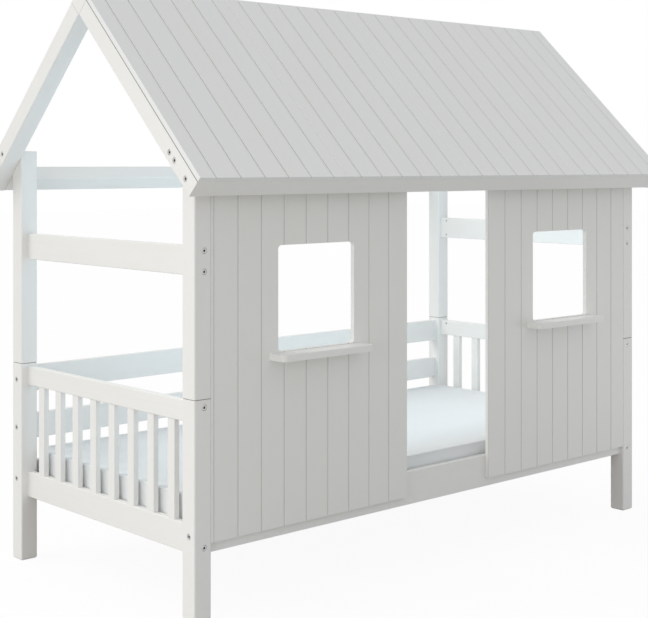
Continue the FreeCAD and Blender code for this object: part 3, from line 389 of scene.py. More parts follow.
def planed_grain():
    """Bare softwood: pale wood between darker rings, with fine fibres along its first axis."""
    group, given, result = group_of(
        "planed_grain",
        [("Grain", "NodeSocketVector", None), ("Pale", "NodeSocketColor", (*PINE_PALE, 1)),
         ("Dark", "NodeSocketColor", (*PINE_DARK, 1))],
        [("Colour", "NodeSocketColor"), ("Roughness", "NodeSocketFloat"), ("Height", "NodeSocketFloat")])
    grain = given.outputs["Grain"]
    fibres = streaks(group, grain, (14, 620, 620), 3, 0.2)
    rings = streaks(group, grain, (1.3, 62, 62), 4, 1.8)
    broad = streaks(group, grain, (1.0, 7, 7), 2, 0.6)
    lines = ranged(group, rings, 0.45, 0.62, 0, 1)
    dark = reckon(group, "MULTIPLY_ADD", lines, 0.45, reckon(group, "MULTIPLY", fibres, 0.25))
    dark = reckon(group, "MULTIPLY_ADD", broad, 0.25, dark)
    link(group, blended(group, dark, given.outputs["Pale"], given.outputs["Dark"]), result.inputs["Colour"])
    link(group, reckon(group, "MULTIPLY_ADD", fibres, 0.2, 0.5), result.inputs["Roughness"])
    link(group, reckon(group, "MULTIPLY_ADD", fibres, 0.5, reckon(group, "MULTIPLY", lines, 0.4)),
         result.inputs["Height"])
    return group


PLANED = planed_grain()


def bare(name, turn, pale=PINE_PALE, dark=PINE_DARK):
    """Bare planed wood whose grain runs along the turned first axis."""
    material, tree, shader = surface(name)
    wood = grouped(tree, PLANED, {"Grain": along_grain(tree, turn), "Pale": pale, "Dark": dark})
    link(tree, wood.outputs["Colour"], shader.inputs["Base Color"])
    link(tree, wood.outputs["Roughness"], shader.inputs["Roughness"])
    relief(tree, shader, wood.outputs["Height"], *PLANED_RELIEF)
    return material


dress(bare("bare_pine_across", ACROSS), "bed_slats")
dress(bare("bare_pine_along", ALONG), "slat_ledge_front", "slat_ledge_back")
dress(bare("beech_dowels", ALONG, BEECH_PALE, BEECH_DARK), "rail_dowels")
dress(bare("beech_dowels_upright", UPRIGHT, BEECH_PALE, BEECH_DARK), "post_joint_dowels")

# ------------------------------------------------------------------ front wall
# Two sheets of lacquered board with a doorway between them, grooved to look like upright
# boarding, and a rounded window in each; screwed to the side rail, cleats and top batten.
BOARD_WIDE = 0.088
LEFT_LAP = 0.009
GROOVE_WIDE = 0.005
GROOVE_SIDE = (0.30, 0.56)
GROOVED_SKIN = (0.0034, 0.0040)
BOARD_NUMBERS = 16.0
BOARD_WHITE = (0.848, 0.847, 0.830)
# Painted shade for the grooves of the boarded sheets.
GROOVE_PAINTED_SHADE = (0.600, 0.595, 0.580)
# Painted light for the sunk lap: a lighter white that cancels the shade in it.
LAP_PAINTED_LIGHT = (0.930, 0.928, 0.915)
LAP_DEEP = (0.0026, 0.0028)
LAP_EDGE = (0.0024, 0.0016)
WALL_LONGER = 2.0
BOARD_GRAIN_SHOWING = 0.55
BOARD_TONE = 0.16
BOARD_RELIEF = (0.0003, 0.3)
# How strongly the painted groove shade shows on the walls.
WALL_GROOVE_SHADE_AMOUNT = 0.5


def board_grooves():
    """Where the grooves of a boarded sheet lie, and a random value for each of its boards."""
    group, given, result = group_of(
        "board_grooves",
        [("Across", "NodeSocketFloat", 0.0), ("Below Face", "NodeSocketFloat", 0.0),
         ("Start", "NodeSocketFloat", 0.0), ("Sheet Wide", "NodeSocketFloat", 1.0),
         ("First Groove", "NodeSocketFloat", 0.0), ("Board Wide", "NodeSocketFloat", BOARD_WIDE),
         ("Groove Wide", "NodeSocketFloat", GROOVE_WIDE)],
        [("Groove", "NodeSocketFloat"), ("Board", "NodeSocketFloat")])
    from_start = reckon(group, "SUBTRACT", given.outputs["Across"], given.outputs["Start"])
    sheets = reckon(group, "DIVIDE", from_start, given.outputs["Sheet Wide"])
    whole = reckon(group, "FLOOR", sheets)
    within = reckon(group, "MULTIPLY", reckon(group, "SUBTRACT", sheets, whole), given.outputs["Sheet Wide"])
    boards = reckon(group, "DIVIDE", reckon(group, "SUBTRACT", within, given.outputs["First Groove"]),
                    given.outputs["Board Wide"])
    nearest = reckon(group, "FLOOR", reckon(group, "ADD", boards, 0.5))
    away = reckon(group, "MULTIPLY", reckon(group, "ABSOLUTE", reckon(group, "SUBTRACT", boards, nearest)),
                  given.outputs["Board Wide"])
    halves = reckon(group, "DIVIDE", away, given.outputs["Groove Wide"])
    side = ranged(group, halves, *GROOVE_SIDE, 1, 0)
    face = ranged(group, given.outputs["Below Face"], *GROOVED_SKIN, 1, 0)
    link(group, reckon(group, "MULTIPLY", side, face), result.inputs["Groove"])
    number = reckon(group, "MULTIPLY_ADD", whole, BOARD_NUMBERS, reckon(group, "FLOOR", boards))
    chance = group.nodes.new("ShaderNodeTexWhiteNoise")
    chance.noise_dimensions = "1D"
    link(group, number, chance.inputs["W"])
    link(group, chance.outputs["Value"], result.inputs["Board"])
    return group


GROOVES = board_grooves()


def boarded(name, turn, across, depth, start, sheet_wide, first_groove, white, groove_shade_amount, lap=0):
    """Lacquered board with grooves; across and depth are functions of the turned coordinates.

    The grooves take painted shade, and a sunk lap along its first edge is painted lighter against the shade
    that falls in it.
    """
    material, tree, shader = surface(name)
    grain = along_grain(tree, turn)
    parts = tree.nodes.new("ShaderNodeSeparateXYZ")
    link(tree, grain, parts.inputs[0])
    place_across, below_face = across(tree, parts), depth(tree, parts)
    lines = grouped(tree, GROOVES, {"Across": place_across, "Below Face": below_face, "Start": start,
                                    "Sheet Wide": sheet_wide, "First Groove": first_groove})
    coat = grouped(tree, LACQUER, {"Grain": grain, "Colour": white, "Showing": BOARD_GRAIN_SHOWING})
    toned = blended(tree, reckon(tree, "MULTIPLY", lines.outputs["Board"], BOARD_TONE),
                    coat.outputs["Colour"], WHITE_THIN)
    # Painted shade darkens the grooves.
    grooved = blended(tree, reckon(tree, "MULTIPLY", lines.outputs["Groove"], groove_shade_amount),
                      toned, GROOVE_PAINTED_SHADE)
    if lap:
        # Painted light brightens the sunk lap along the first edge.
        sunk = ranged(tree, below_face, *LAP_DEEP, 0, 1)
        by_edge = ranged(tree, place_across, *(start + lap - inset for inset in LAP_EDGE), 1, 0)
        grooved = blended(tree, reckon(tree, "MULTIPLY", sunk, by_edge), grooved, LAP_PAINTED_LIGHT)
    link(tree, grooved, shader.inputs["Base Color"])
    link(tree, coat.outputs["Roughness"], shader.inputs["Roughness"])
    relief(tree, shader, coat.outputs["Height"], *BOARD_RELIEF)
    return material


def wall_across(tree, parts):
    return reckon(tree, "MULTIPLY", parts.outputs["Z"], -1.0)


def wall_depth(tree, parts):
    return reckon(tree, "SUBTRACT", parts.outputs["Y"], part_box("wall_sheet_left")[0].y)


for side in ("left", "right"):
    sheet_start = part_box(f"wall_sheet_{side}")[0].x
    lap = LEFT_LAP if side == "left" else 0
    wall_white = boarded(f"white_wall_{side}", UPRIGHT, wall_across, wall_depth, sheet_start,
                         WALL_LONGER, BOARD_WIDE + lap, BOARD_WHITE, WALL_GROOVE_SHADE_AMOUNT, lap)
    dress(wall_white, f"wall_sheet_{side}")
dress(along_white, "window_sill_left", "window_sill_right", "wall_top_batten")
dress(upright_white, "wall_cleat_left", "wall_cleat_right")

# ------------------------------------------------------------------ roof
# Rafters bolted to the outer faces of the posts, joined by a ridge beam and an eaves beam on
# each side, with four grooved sheets screwed down side by side on the front slope.
ROOF_ANGLE = math.radians(44.2)
ROOF_SHEET = 0.555
ROOF_FIRST_GROOVE = 0.0571
# The roof sheets are the same board as the wall sheets; their bluer white is painted light, the cooler light
# on the roof.
ROOF_WHITE_PAINTED_COOL = (0.836, 0.852, 0.852)
# How strongly the painted groove shade shows on the roof.
ROOF_GROOVE_SHADE_AMOUNT = 1.0
SHEET_THICK = 0.015
SHEET_JOINT_BELOW = 0.0012
BEAM_SIDE = 0.058
front_slope = (-ROOF_ANGLE, 0, math.radians(-90))
back_slope = (ROOF_ANGLE, 0, math.radians(-90))
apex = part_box("ridge_beam")[1].z
rafter_end = apex * math.sin(ROOF_ANGLE) - BEAM_SIDE
rafter_top = apex * math.cos(ROOF_ANGLE)
# The rafters carry painted shadow lines along their joints, the front ones also just under the roof sheets,
# on the gable faces only.
front_rafter_white = lacquered("white_lacquer_front_rafters", front_slope,
                               joints=[("X", rafter_end), ("Z", rafter_top - SHEET_JOINT_BELOW)],
                               gable_only=True)
back_rafter_white = lacquered("white_lacquer_back_rafters", back_slope,
                              joints=[("X", -rafter_end)], gable_only=True)
dress(front_rafter_white, "rafter_front_left", "rafter_front_right")
dress(back_rafter_white, "rafter_back_left", "rafter_back_right")
dress(along_white, "ridge_beam", "eaves_beam_front", "eaves_beam_back")

roof_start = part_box("roof_sheet_1")[0].x
roof_face = rafter_top + SHEET_THICK


def roof_across(tree, parts):
    return reckon(tree, "MULTIPLY", parts.outputs["Y"], -1.0)


def roof_depth(tree, parts):
    return reckon(tree, "SUBTRACT", roof_face, parts.outputs["Z"])


roof_white = boarded("white_roof", front_slope, roof_across, roof_depth,
                     roof_start, ROOF_SHEET, ROOF_FIRST_GROOVE, ROOF_WHITE_PAINTED_COOL, ROOF_GROOVE_SHADE_AMOUNT)
dress(roof_white, "roof_sheet_1", "roof_sheet_2", "roof_sheet_3", "roof_sheet_4")

# ------------------------------------------------------------------ bolts, nuts and screws
# Connector bolts with flat heads and hexagon sockets, barrel and insert nuts, and countersunk
# wood screws, all steel with a dull zinc plating. The bolts are modelled again with painted
# shade inside their sockets, each one laid where the imported bolt is.
ZINC = (0.640, 0.640, 0.640)
ZINC_DULL = (0.500, 0.500, 0.500)
# Painted shade for the inside of the bolts' hexagon sockets.
SOCKET_PAINTED_SHADE = (0.100, 0.096, 0.092)
HEAD_RADIUS = 0.0085
HEAD_RIM = 0.0009
HEAD_DEEP = 0.004
SHANK_RADIUS = 0.003
SOCKET_RADIUS = 0.0041
SOCKET_DEEP = 0.003
SOCKET_EASE = 0.0003
SOCKET_CONE = (0.0004, 0.0006)
SHANK_TIP = (0.7, 0.001)
BOLT_SIDES = 24
HEAD_TOLERANCE = 0.0002
WELD = 1e-5
ZINC_RELIEF = (0.0001, 0.3)


def zinc_plated(name, socket_mask=None):
    """Zinc plating, and painted shade inside a socket where the mask's attribute says so."""
    material, tree, shader = surface(name)
    where = tree.nodes.new("ShaderNodeTexCoord")
    spots = streaks(tree, where.outputs["Object"], (260, 260, 260), 4, 0.6)
    colour = blended(tree, spots, ZINC, ZINC_DULL)
    metal = None
    if socket_mask:
        inside = tree.nodes.new("ShaderNodeAttribute")
        inside.attribute_name = socket_mask
        # Painted shade inside the socket, where the metal is taken away too.
        colour = blended(tree, inside.outputs["Fac"], colour, SOCKET_PAINTED_SHADE)
        metal = reckon(tree, "SUBTRACT", 1.0, inside.outputs["Fac"])
    link(tree, colour, shader.inputs["Base Color"])
    link(tree, ranged(tree, spots, 0.3, 0.7, 0.34, 0.5), shader.inputs["Roughness"])
    if metal is None:
        shader.inputs["Metallic"].default_value = 1.0
    else:
        link(tree, metal, shader.inputs["Metallic"])
    relief(tree, shader, spots, *ZINC_RELIEF)
    return material


def smooth_faces(mesh):
    mesh.polygons.foreach_set("use_smooth", [True] * len(mesh.polygons))


def bolt_model(name, length):
    """One bolt with the face of its head at the origin and its shank down the third axis."""
    hexagon = SOCKET_RADIUS * math.cos(math.radians(30))
    rings = [(SOCKET_CONE[0], -SOCKET_DEEP - SOCKET_CONE[1], "round"), (0, -SOCKET_DEEP, "hex"),
             (0, -HEAD_TOLERANCE, "hex"), (SOCKET_EASE, 0, "hex"),
             (HEAD_RADIUS - HEAD_RIM, 0, "round"), (HEAD_RADIUS, -HEAD_RIM, "round"),
             (HEAD_RADIUS, -HEAD_DEEP, "round"), (SHANK_RADIUS, -HEAD_DEEP, "round"),
             (SHANK_RADIUS, -length + SHANK_TIP[1], "round"),
             (SHANK_RADIUS * SHANK_TIP[0], -length, "round")]
    shape = bmesh.new()
    shaded = []
    loops = []
    for radius, level, kind in rings:
        loop = []
        for i in range(BOLT_SIDES):
            turn = 2 * math.pi * i / BOLT_SIDES
            if kind == "hex":
                within = (turn + math.radians(30)) % math.radians(60) - math.radians(30)
                reach = hexagon / math.cos(within) + radius
            else:
                reach = radius
            loop.append(shape.verts.new((reach * math.cos(turn), reach * math.sin(turn), level)))
            # The socket's inside is marked for painted shade.
            shaded.append(1.0 if level < 0 and len(loops) < 3 else 0.0)
        loops.append(loop)
    for loop, following in zip(loops, loops[1:]):
        for i in range(BOLT_SIDES):
            j = (i + 1) % BOLT_SIDES
            shape.faces.new((loop[i], loop[j], following[j], following[i]))
    shape.faces.new(loops[0])
    shape.faces.new(loops[-1])
    bmesh.ops.recalc_face_normals(shape, faces=shape.faces)
    mesh = bpy.data.meshes.new(name)
    shape.to_mesh(mesh)
    shape.free()
    mask = mesh.attributes.new("socket_inside", "FLOAT", "POINT")
    mask.data.foreach_set("value", shaded)
    smooth_faces(mesh)
    mesh.set_sharp_from_angle(angle=math.radians(25))
    return mesh


def bolts_packed(node):
    """Where the face of each packed bolt's head is, which way it faces, and the bolt's length."""
    shape = bmesh.new()
    shape.from_mesh(bed[node].data)
    bmesh.ops.remove_doubles(shape, verts=shape.verts, dist=WELD)
    shape.verts.ensure_lookup_table()
    seen = set()
    found = []
    for first in shape.verts:
        if first in seen:
            continue
        seen.add(first)
        bolt = [first]
        for vert in bolt:
            for edge in vert.link_edges:
                near = edge.other_vert(vert)
                if near not in seen:
                    seen.add(near)
                    bolt.append(near)
        spots = numpy.array([vert.co for vert in bolt])
        middle_spot = spots.mean(axis=0)
        axis = numpy.linalg.eigh(numpy.cov((spots - middle_spot).T))[1][:, -1]
        along = (spots - middle_spot) @ axis
        away = numpy.linalg.norm(spots - middle_spot - numpy.outer(along, axis), axis=1)
        head = along[away > away.max() - HEAD_TOLERANCE].mean()
        if head < (along.min() + along.max()) / 2:
            axis, along = -axis, -along
        found.append((Vector(middle_spot + axis * along.max()), Vector(axis), along.max() - along.min()))
    shape.free()
    return sorted(found, key=lambda bolt: tuple(round(value, 4) for value in bolt[0]))


def bolts_laid():
    """One bolt on every point, facing along the point's own direction."""
    tree = bpy.data.node_groups.new("bolts_laid", "GeometryNodeTree")
    face = tree.interface
    face.new_socket(name="Heads", in_out="INPUT", socket_type="NodeSocketGeometry")
    face.new_socket(name="Bolt", in_out="INPUT", socket_type="NodeSocketObject")
    face.new_socket(name="Plating", in_out="INPUT", socket_type="NodeSocketMaterial")
    face.new_socket(name="Bolts", in_out="OUTPUT", socket_type="NodeSocketGeometry")
    given = tree.nodes.new("NodeGroupInput")
    result = tree.nodes.new("NodeGroupOutput")
    model = tree.nodes.new("GeometryNodeObjectInfo")
    link(tree, given.outputs["Bolt"], model.inputs["Object"])
    outward = tree.nodes.new("GeometryNodeInputNamedAttribute")
    outward.data_type = "FLOAT_VECTOR"
    outward.inputs["Name"].default_value = "outward"
    aim = tree.nodes.new("FunctionNodeAlignRotationToVector")
    aim.axis = "Z"
    link(tree, outward.outputs["Attribute"], aim.inputs["Vector"])
    laid = tree.nodes.new("GeometryNodeInstanceOnPoints")
    link(tree, given.outputs["Heads"], laid.inputs["Points"])
    link(tree, model.outputs["Geometry"], laid.inputs["Instance"])
    link(tree, aim.outputs[0], laid.inputs["Rotation"])
    real = tree.nodes.new("GeometryNodeRealizeInstances")
    link(tree, laid.outputs[0], real.inputs[0])
    plated = tree.nodes.new("GeometryNodeSetMaterial")
    link(tree, real.outputs[0], plated.inputs["Geometry"])
    link(tree, given.outputs["Plating"], plated.inputs["Material"])
    link(tree, plated.outputs[0], result.inputs["Bolts"])
    return tree


def worked_in(name, source, tree, values):
    """A plain piece from a source object and a geometry tree given values by socket name."""
    modifier = source.modifiers.new(name, "NODES")
    modifier.node_group = tree
    for socket in tree.interface.items_tree:
        if socket.name in values:
            modifier[socket.identifier] = values[socket.name]
    mesh = bpy.data.meshes.new_from_object(source.evaluated_get(bpy.context.evaluated_depsgraph_get()))
    bpy.data.objects.remove(source)
    return shown(name, mesh)


zinc = zinc_plated("zinc_plating")
dress(zinc, "frame_bolts", "roof_bolts", "barrel_nuts", "insert_nuts", "wall_rail_screws",
      "wall_batten_screws", "cleat_post_screws", "sill_fixing_screws", "ledge_screws",
      "slat_screws", "roof_sheet_screws")
bolt_zinc = zinc_plated("zinc_plating_bolts", "socket_inside")
BOLTS_LAID = bolts_laid()

for node, name in (("frame_bolts", "frame_connector_bolts"), ("roof_bolts", "roof_connector_bolts")):
    packed = bolts_packed(node)
    one_bolt = bpy.data.objects.new("one_bolt", bolt_model("one_bolt", packed[0][2]))
    heads = bpy.data.meshes.new("bolt_heads")
    heads.from_pydata([spot for spot, _, _ in packed], [], [])
    facing_out = heads.attributes.new("outward", "FLOAT_VECTOR", "POINT")
    facing_out.data.foreach_set("vector", [value for _, axis, _ in packed for value in axis])
    bolts = worked_in(name, shown("bolt_heads", heads), BOLTS_LAID, {"Bolt": one_bolt, "Plating": bolt_zinc})
    bpy.data.objects.remove(one_bolt)
    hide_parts(node)
    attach(bolts, "root")

# ------------------------------------------------------------------ mattress
# A foam mattress in a knitted white cover, lying loose on the slats. The cover is sewn from a
# top, a bottom and a border, with firm edges between them, and air and foam swell its faces.
COVER = (0.872, 0.892, 0.902)
# Painted shade for the cover's creases and knit hollows.
COVER_PAINTED_SHADE = (0.825, 0.848, 0.860)
STITCH_SIZE = 0.003
CREASE_HIGH = 6.0
CLOTH_RELIEF = (0.0006, 0.5)
FOAM_CROWN = 0.004
COVER_CORNER = 0.060
COVER_EDGE = 0.007
COVER_WAIST = 0.0025
COVER_CELL = 0.020
COVER_LOOSE = 0.001
COVER_ROOM = 0.0003
FIRM_BAND = 0.020
EDGE_LOOPS = (0, 0.0015, 0.0032, 0.0052, 0.0075, 0.012)
COVER_SWELL = 0.0035
AIR_PRESSURE = 4.0
SIM_FRAMES = 20


def plain_mesh(piece):
    """The piece's mesh with every modifier worked into it."""
    seen = piece.evaluated_get(bpy.context.evaluated_depsgraph_get())
    mesh = bpy.data.meshes.new_from_object(seen)
    piece.modifiers.clear()
    piece.data = mesh


def points_of(mesh):
    flat = numpy.zeros(len(mesh.vertices) * 3, numpy.float32)
    mesh.vertices.foreach_get("co", flat)
    return flat.reshape(-1, 3)


def move_points(mesh, points):
    mesh.vertices.foreach_set("co", points.astype(numpy.float32).ravel())
    mesh.update()


foam_low, foam_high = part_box("mattress")
middle = (foam_low + foam_high) / 2
half = (foam_high - foam_low) / 2
cover_half = (half.x - COVER_LOOSE, half.y - COVER_LOOSE)
cover_high = foam_high.z - FOAM_CROWN - foam_low.z


def cover_lines(extent):
    """Where the cover's grid lines lie across an extent: close together at both ends."""
    near = [-extent + inset for inset in EDGE_LOOPS]
    span = -2 * near[-1]
    count = round(span / COVER_CELL)
    return near + [near[-1] + span * i / count for i in range(1, count)] + [-line for line in reversed(near)]


def cover_point(x, y, z):
    """A point of a square-cornered cover, moved on to the real one, and whether it is by an edge."""
    outward = Vector((0, 0, 0))
    over = [abs(value) - extent + COVER_CORNER for value, extent in zip((x, y), cover_half)]
    signs = [math.copysign(1, x), math.copysign(1, y)]
    if min(over) > 0:
        reach = math.hypot(*over)
        outward = Vector((signs[0] * over[0] / reach, signs[1] * over[1] / reach, 0))
        round_out = max(over) / reach
        x = signs[0] * (cover_half[0] - COVER_CORNER + over[0] * round_out)
        y = signs[1] * (cover_half[1] - COVER_CORNER + over[1] * round_out)
        inset = COVER_CORNER - max(over)
    else:
        axis = 0 if over[0] > over[1] else 1
        outward[axis] = signs[axis]
        inset = COVER_CORNER - max(over)
    depth = min(z, cover_high - z)
    up = 1 if z > cover_high / 2 else -1
    across, upward = max(0, COVER_EDGE - inset), max(0, COVER_EDGE - depth)
    point = Vector((x, y, z))
    if across > 0 and upward > 0:
        scale = COVER_EDGE / math.hypot(across, upward) - 1
        point += outward * across * scale + Vector((0, 0, up * upward * scale))
    elif inset < 1e-6:
        point -= outward * COVER_WAIST * math.sin(math.pi * z / cover_high)
    return point, inset < FIRM_BAND and depth < FIRM_BAND


def cover_mesh():
    """The cover as a closed grid, and the points by its firm edges."""
    columns, rows = cover_lines(cover_half[0]), cover_lines(cover_half[1])
    levels = [cover_high / 2 + line for line in cover_lines(cover_high / 2)]
    last = (len(columns) - 1, len(rows) - 1, len(levels) - 1)
    shape = bmesh.new()
    laid = {}
    firm = []

    def vert(spot):
        if spot not in laid:
            point, edge = cover_point(columns[spot[0]], rows[spot[1]], levels[spot[2]])
            if edge:
                firm.append(len(laid))
            laid[spot] = shape.verts.new(point + Vector((middle.x, middle.y, foam_low.z)))
        return laid[spot]

    for axis in range(3):
        first, second = [other for other in range(3) if other != axis]
        for side in (0, last[axis]):
            for i in range(last[first]):
                for j in range(last[second]):
                    corners = []
                    for di, dj in ((0, 0), (1, 0), (1, 1), (0, 1)):
                        spot = [0, 0, 0]
                        spot[axis], spot[first], spot[second] = side, i + di, j + dj
                        corners.append(vert(tuple(spot)))
                    shape.faces.new(corners)
    bmesh.ops.recalc_face_normals(shape, faces=shape.faces)
    mesh = bpy.data.meshes.new("mattress_cover")
    shape.to_mesh(mesh)
    shape.free()
    return mesh, firm


cover_shape, firm_points = cover_mesh()
mattress = shown("mattress_cover", cover_shape)
slack = points_of(mattress.data)

firm_edges = mattress.vertex_groups.new(name="firm_edges")
firm_edges.add(firm_points, 1.0, "REPLACE")
cloth = mattress.modifiers.new("air", "CLOTH")
cloth.settings.quality = 6
cloth.settings.mass = 0.4
cloth.settings.tension_stiffness = 30
cloth.settings.compression_stiffness = 30
cloth.settings.shear_stiffness = 12
cloth.settings.bending_stiffness = 6
cloth.settings.vertex_group_mass = "firm_edges"
cloth.settings.use_pressure = True
cloth.settings.uniform_pressure_force = AIR_PRESSURE
cloth.settings.effector_weights.gravity = 0
cloth.point_cache.frame_start = 1
cloth.point_cache.frame_end = SIM_FRAMES
for step in range(1, SIM_FRAMES + 1):
    bpy.context.scene.frame_set(step)
plain_mesh(mattress)
bpy.context.scene.frame_set(1)
mattress.vertex_groups.clear()
swollen = points_of(mattress.data)
travel = swollen - slack
far = numpy.linalg.norm(travel, axis=1).max()
swollen = slack + travel * min(1, COVER_SWELL / max(far, 1e-9))
for axis in range(3):
    room = half[axis] - COVER_ROOM
    swollen[:, axis] = middle[axis] + numpy.clip(swollen[:, axis] - middle[axis], -room, room)
move_points(mattress.data, swollen)

smooth_faces(mattress.data)


def knit():
    """A fine knit in all three directions, so that it needs no lie of the cloth."""
    group, given, result = group_of(
        "knit",
        [("Place", "NodeSocketVector", None), ("Stitch", "NodeSocketFloat", 0.003)],
        [("Height", "NodeSocketFloat")])
    parts = group.nodes.new("ShaderNodeSeparateXYZ")
    link(group, given.outputs["Place"], parts.inputs[0])
    turns = reckon(group, "DIVIDE", 2 * math.pi, given.outputs["Stitch"])
    waves = [reckon(group, "SINE", reckon(group, "MULTIPLY", parts.outputs[axis], turns))
             for axis in ("X", "Y", "Z")]
    crossed = [reckon(group, "MULTIPLY", waves[0], waves[1]), reckon(group, "MULTIPLY", waves[1], waves[2]),
               reckon(group, "MULTIPLY", waves[2], waves[0])]
    total = reckon(group, "ADD", reckon(group, "ADD", crossed[0], crossed[1]), crossed[2])
    link(group, reckon(group, "MULTIPLY_ADD", total, 0.3, 0.5), result.inputs["Height"])
    return group


KNIT = knit()


def cover_cloth(name, colour, painted_shade_colour, stitch):
    """Knitted cotton: a fine raised knit, faint creases, and a soft bloom at grazing angles; painted shade
    darkens the creases and the hollows of the knit.
    """
    material, tree, shader = surface(name)
    place = tree.nodes.new("ShaderNodeTexCoord").outputs["Object"]
    loops = grouped(tree, KNIT, {"Place": place, "Stitch": stitch})
    creases = streaks(tree, place, (5, 7, 9), 3, 0.8)
    # Painted shade: darker where the creases and the knit sit low.
    painted_shade_amount = reckon(tree, "MULTIPLY_ADD", loops.outputs["Height"], -0.3,
                          ranged(tree, creases, 0.35, 0.7, 0.5, 0.25))
    link(tree, blended(tree, painted_shade_amount, colour, painted_shade_colour), shader.inputs["Base Color"])
    shader.inputs["Roughness"].default_value = 0.9
    shader.inputs["Sheen Weight"].default_value = 0.25
    shader.inputs["Sheen Roughness"].default_value = 0.4
    height = reckon(tree, "MULTIPLY_ADD", creases, CREASE_HIGH, loops.outputs["Height"])
    relief(tree, shader, height, *CLOTH_RELIEF)
    return material


mattress.data.materials.clear()
mattress.data.materials.append(cover_cloth("knitted_cover", COVER, COVER_PAINTED_SHADE, STITCH_SIZE))
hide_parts("mattress")
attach(mattress, "root")

# The taped edges: a woven tape sewn round the top and the bottom of the border, over the seam
# where the cover's faces meet it, with one row of stitches along its middle.
TAPE_WIDE = 0.005
TAPE_THICK = 0.0012
TAPE_SIDES = 10
TAPE_STITCH = 0.0016
SEAM_INSET = 0.012
SEAM_STEP = 0.012
SEAM_OUTSIDE = 0.05
SEAM_REACH = 0.12
THREAD_LIFT = 0.55
STITCH_STEP = 0.0085
STITCH_LONG = 0.0052
STITCH_THICK = 0.0011
TAPE = (0.866, 0.886, 0.896)
# Painted shade for the tape's creases and knit hollows.
TAPE_PAINTED_SHADE = (0.810, 0.832, 0.842)
THREAD = (0.900, 0.910, 0.915)


def border_line(step):
    """Points round the mattress's outline with the outward direction at each."""
    long_side, wide_side = half.x - COVER_CORNER, half.y - COVER_CORNER
    line = []
    centres = [((1, 1), 0), ((-1, 1), 90), ((-1, -1), 180), ((1, -1), 270)]
    for index, ((sx, sy), angle) in enumerate(centres):
        centre = Vector((middle.x + sx * long_side, middle.y + sy * wide_side, 0))
        count = max(2, round(COVER_CORNER * math.pi / 2 / step))
        for i in range(count + 1):
            turn = math.radians(angle + 90 * i / count)
            line.append((centre + Vector((math.cos(turn), math.sin(turn), 0)) * COVER_CORNER,
                         Vector((math.cos(turn), math.sin(turn), 0))))
        run = 2 * (long_side if index % 2 == 0 else wide_side)
        outward = Vector((math.cos(math.radians(angle + 90)), math.sin(math.radians(angle + 90)), 0))
        forward = Vector((-outward.y, outward.x, 0))
        corner = line[-1][0]
        pieces = max(2, round(run / step))
        for i in range(1, pieces):
            line.append((corner + forward * run * i / pieces, outward))
    return line


skin = BVHTree.FromObject(mattress, bpy.context.evaluated_depsgraph_get())


def seam_on_cover(up):
    """The seam round one edge of the cover: where a slanting line from outside meets it."""
    level = foam_low.z + cover_high if up > 0 else foam_low.z
    seam = []
    for point, outward in border_line(SEAM_STEP):
        lean = (outward + Vector((0, 0, up))).normalized()
        edge = Vector((point.x, point.y, level)) - (outward + Vector((0, 0, up))) * SEAM_INSET
        hit = skin.ray_cast(edge + lean * SEAM_OUTSIDE, -lean, SEAM_REACH)[0]
        if hit is None:
            raise RuntimeError("the taped edge missed the mattress")
        seam.append((hit, lean))
    return seam


def tape_mesh(name, seam):
    """A flat rounded tape laid along a closed seam."""
    shape = bmesh.new()
    rings = []
    for i, (spot, lean) in enumerate(seam):
        along = (seam[(i + 1) % len(seam)][0] - seam[i - 1][0]).normalized()
        over = along.cross(lean).normalized()
        ring = []
        for j in range(TAPE_SIDES):
            turn = 2 * math.pi * j / TAPE_SIDES
            offset = over * math.cos(turn) * TAPE_WIDE / 2 + lean * math.sin(turn) * TAPE_THICK / 2
            ring.append(shape.verts.new(spot + offset))
        rings.append(ring)
    for i, ring in enumerate(rings):
        following = rings[(i + 1) % len(rings)]
        for j in range(TAPE_SIDES):
            k = (j + 1) % TAPE_SIDES
            shape.faces.new((ring[j], ring[k], following[k], following[j]))
    bmesh.ops.recalc_face_normals(shape, faces=shape.faces)
    mesh = bpy.data.meshes.new(name)
    shape.to_mesh(mesh)
    shape.free()
    smooth_faces(mesh)
    return mesh


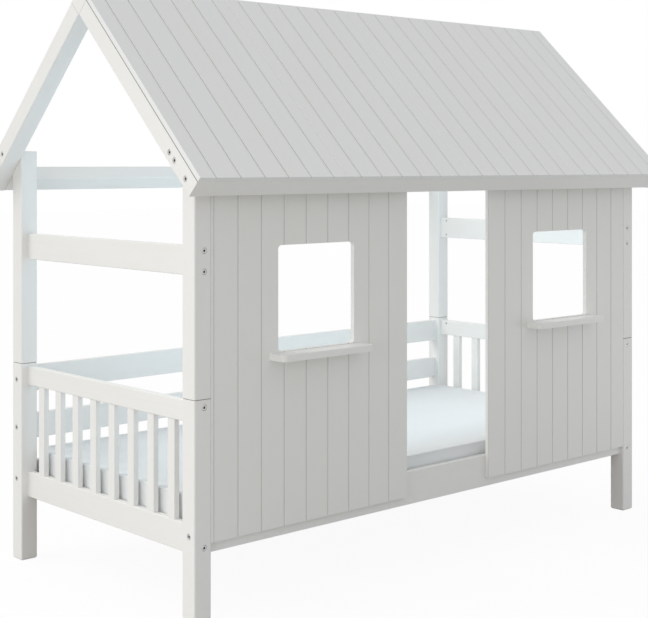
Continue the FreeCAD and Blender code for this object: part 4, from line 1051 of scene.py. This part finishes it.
def stitch_rows():
    """Stitches laid end to end along every curve that is given."""
    tree = bpy.data.node_groups.new("stitch_rows", "GeometryNodeTree")
    face = tree.interface
    face.new_socket(name="Seam", in_out="INPUT", socket_type="NodeSocketGeometry")
    for label, value in (("Step", STITCH_STEP), ("Stitch Long", STITCH_LONG), ("Stitch Thick", STITCH_THICK)):
        socket = face.new_socket(name=label, in_out="INPUT", socket_type="NodeSocketFloat")
        socket.default_value = value
    face.new_socket(name="Thread", in_out="INPUT", socket_type="NodeSocketMaterial")
    face.new_socket(name="Stitches", in_out="OUTPUT", socket_type="NodeSocketGeometry")
    given = tree.nodes.new("NodeGroupInput")
    result = tree.nodes.new("NodeGroupOutput")
    spaced = tree.nodes.new("GeometryNodeResampleCurve")
    spaced.mode = "LENGTH"
    link(tree, given.outputs["Seam"], spaced.inputs["Curve"])
    link(tree, given.outputs["Step"], spaced.inputs["Length"])
    bead = tree.nodes.new("GeometryNodeMeshUVSphere")
    bead.inputs["Segments"].default_value = 6
    bead.inputs["Rings"].default_value = 5
    bead.inputs["Radius"].default_value = 0.5
    size = tree.nodes.new("ShaderNodeCombineXYZ")
    link(tree, given.outputs["Stitch Long"], size.inputs["X"])
    link(tree, given.outputs["Stitch Thick"], size.inputs["Y"])
    link(tree, given.outputs["Stitch Thick"], size.inputs["Z"])
    tangent = tree.nodes.new("GeometryNodeInputTangent")
    aim = tree.nodes.new("FunctionNodeAlignRotationToVector")
    aim.axis = "X"
    link(tree, tangent.outputs[0], aim.inputs["Vector"])
    laid = tree.nodes.new("GeometryNodeInstanceOnPoints")
    link(tree, spaced.outputs["Curve"], laid.inputs["Points"])
    link(tree, bead.outputs["Mesh"], laid.inputs["Instance"])
    link(tree, aim.outputs[0], laid.inputs["Rotation"])
    link(tree, size.outputs[0], laid.inputs["Scale"])
    real = tree.nodes.new("GeometryNodeRealizeInstances")
    link(tree, laid.outputs[0], real.inputs[0])
    coloured = tree.nodes.new("GeometryNodeSetMaterial")
    link(tree, real.outputs[0], coloured.inputs["Geometry"])
    link(tree, given.outputs["Thread"], coloured.inputs["Material"])
    link(tree, coloured.outputs[0], result.inputs["Stitches"])
    return tree


tape_cloth = cover_cloth("edge_tape", TAPE, TAPE_PAINTED_SHADE, TAPE_STITCH)
thread, thread_tree, thread_shader = surface("stitching_thread")
thread_place = thread_tree.nodes.new("ShaderNodeTexCoord")
twist = streaks(thread_tree, thread_place.outputs["Object"], (900, 900, 900), 2, 0.3)
link(thread_tree, blended(thread_tree, twist, THREAD, TAPE), thread_shader.inputs["Base Color"])
thread_shader.inputs["Roughness"].default_value = 0.7
STITCH_ROWS = stitch_rows()

for edge, up in (("top", 1), ("bottom", -1)):
    seam = seam_on_cover(up)
    tape = shown(f"mattress_tape_{edge}", tape_mesh(f"mattress_tape_{edge}", seam))
    tape.data.materials.append(tape_cloth)
    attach(tape, "root")

    row = bpy.data.curves.new(f"stitch_line_{edge}", "CURVE")
    row.dimensions = "3D"
    line = row.splines.new("POLY")
    line.points.add(len(seam) - 1)
    for point, (spot, lean) in zip(line.points, seam):
        point.co = (*(spot + lean * TAPE_THICK * THREAD_LIFT), 1)
    line.use_cyclic_u = True
    stitches = worked_in(f"mattress_stitches_{edge}", shown(f"stitch_line_{edge}", row), STITCH_ROWS,
                         {"Thread": thread})
    smooth_faces(stitches.data)
    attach(stitches, "root")
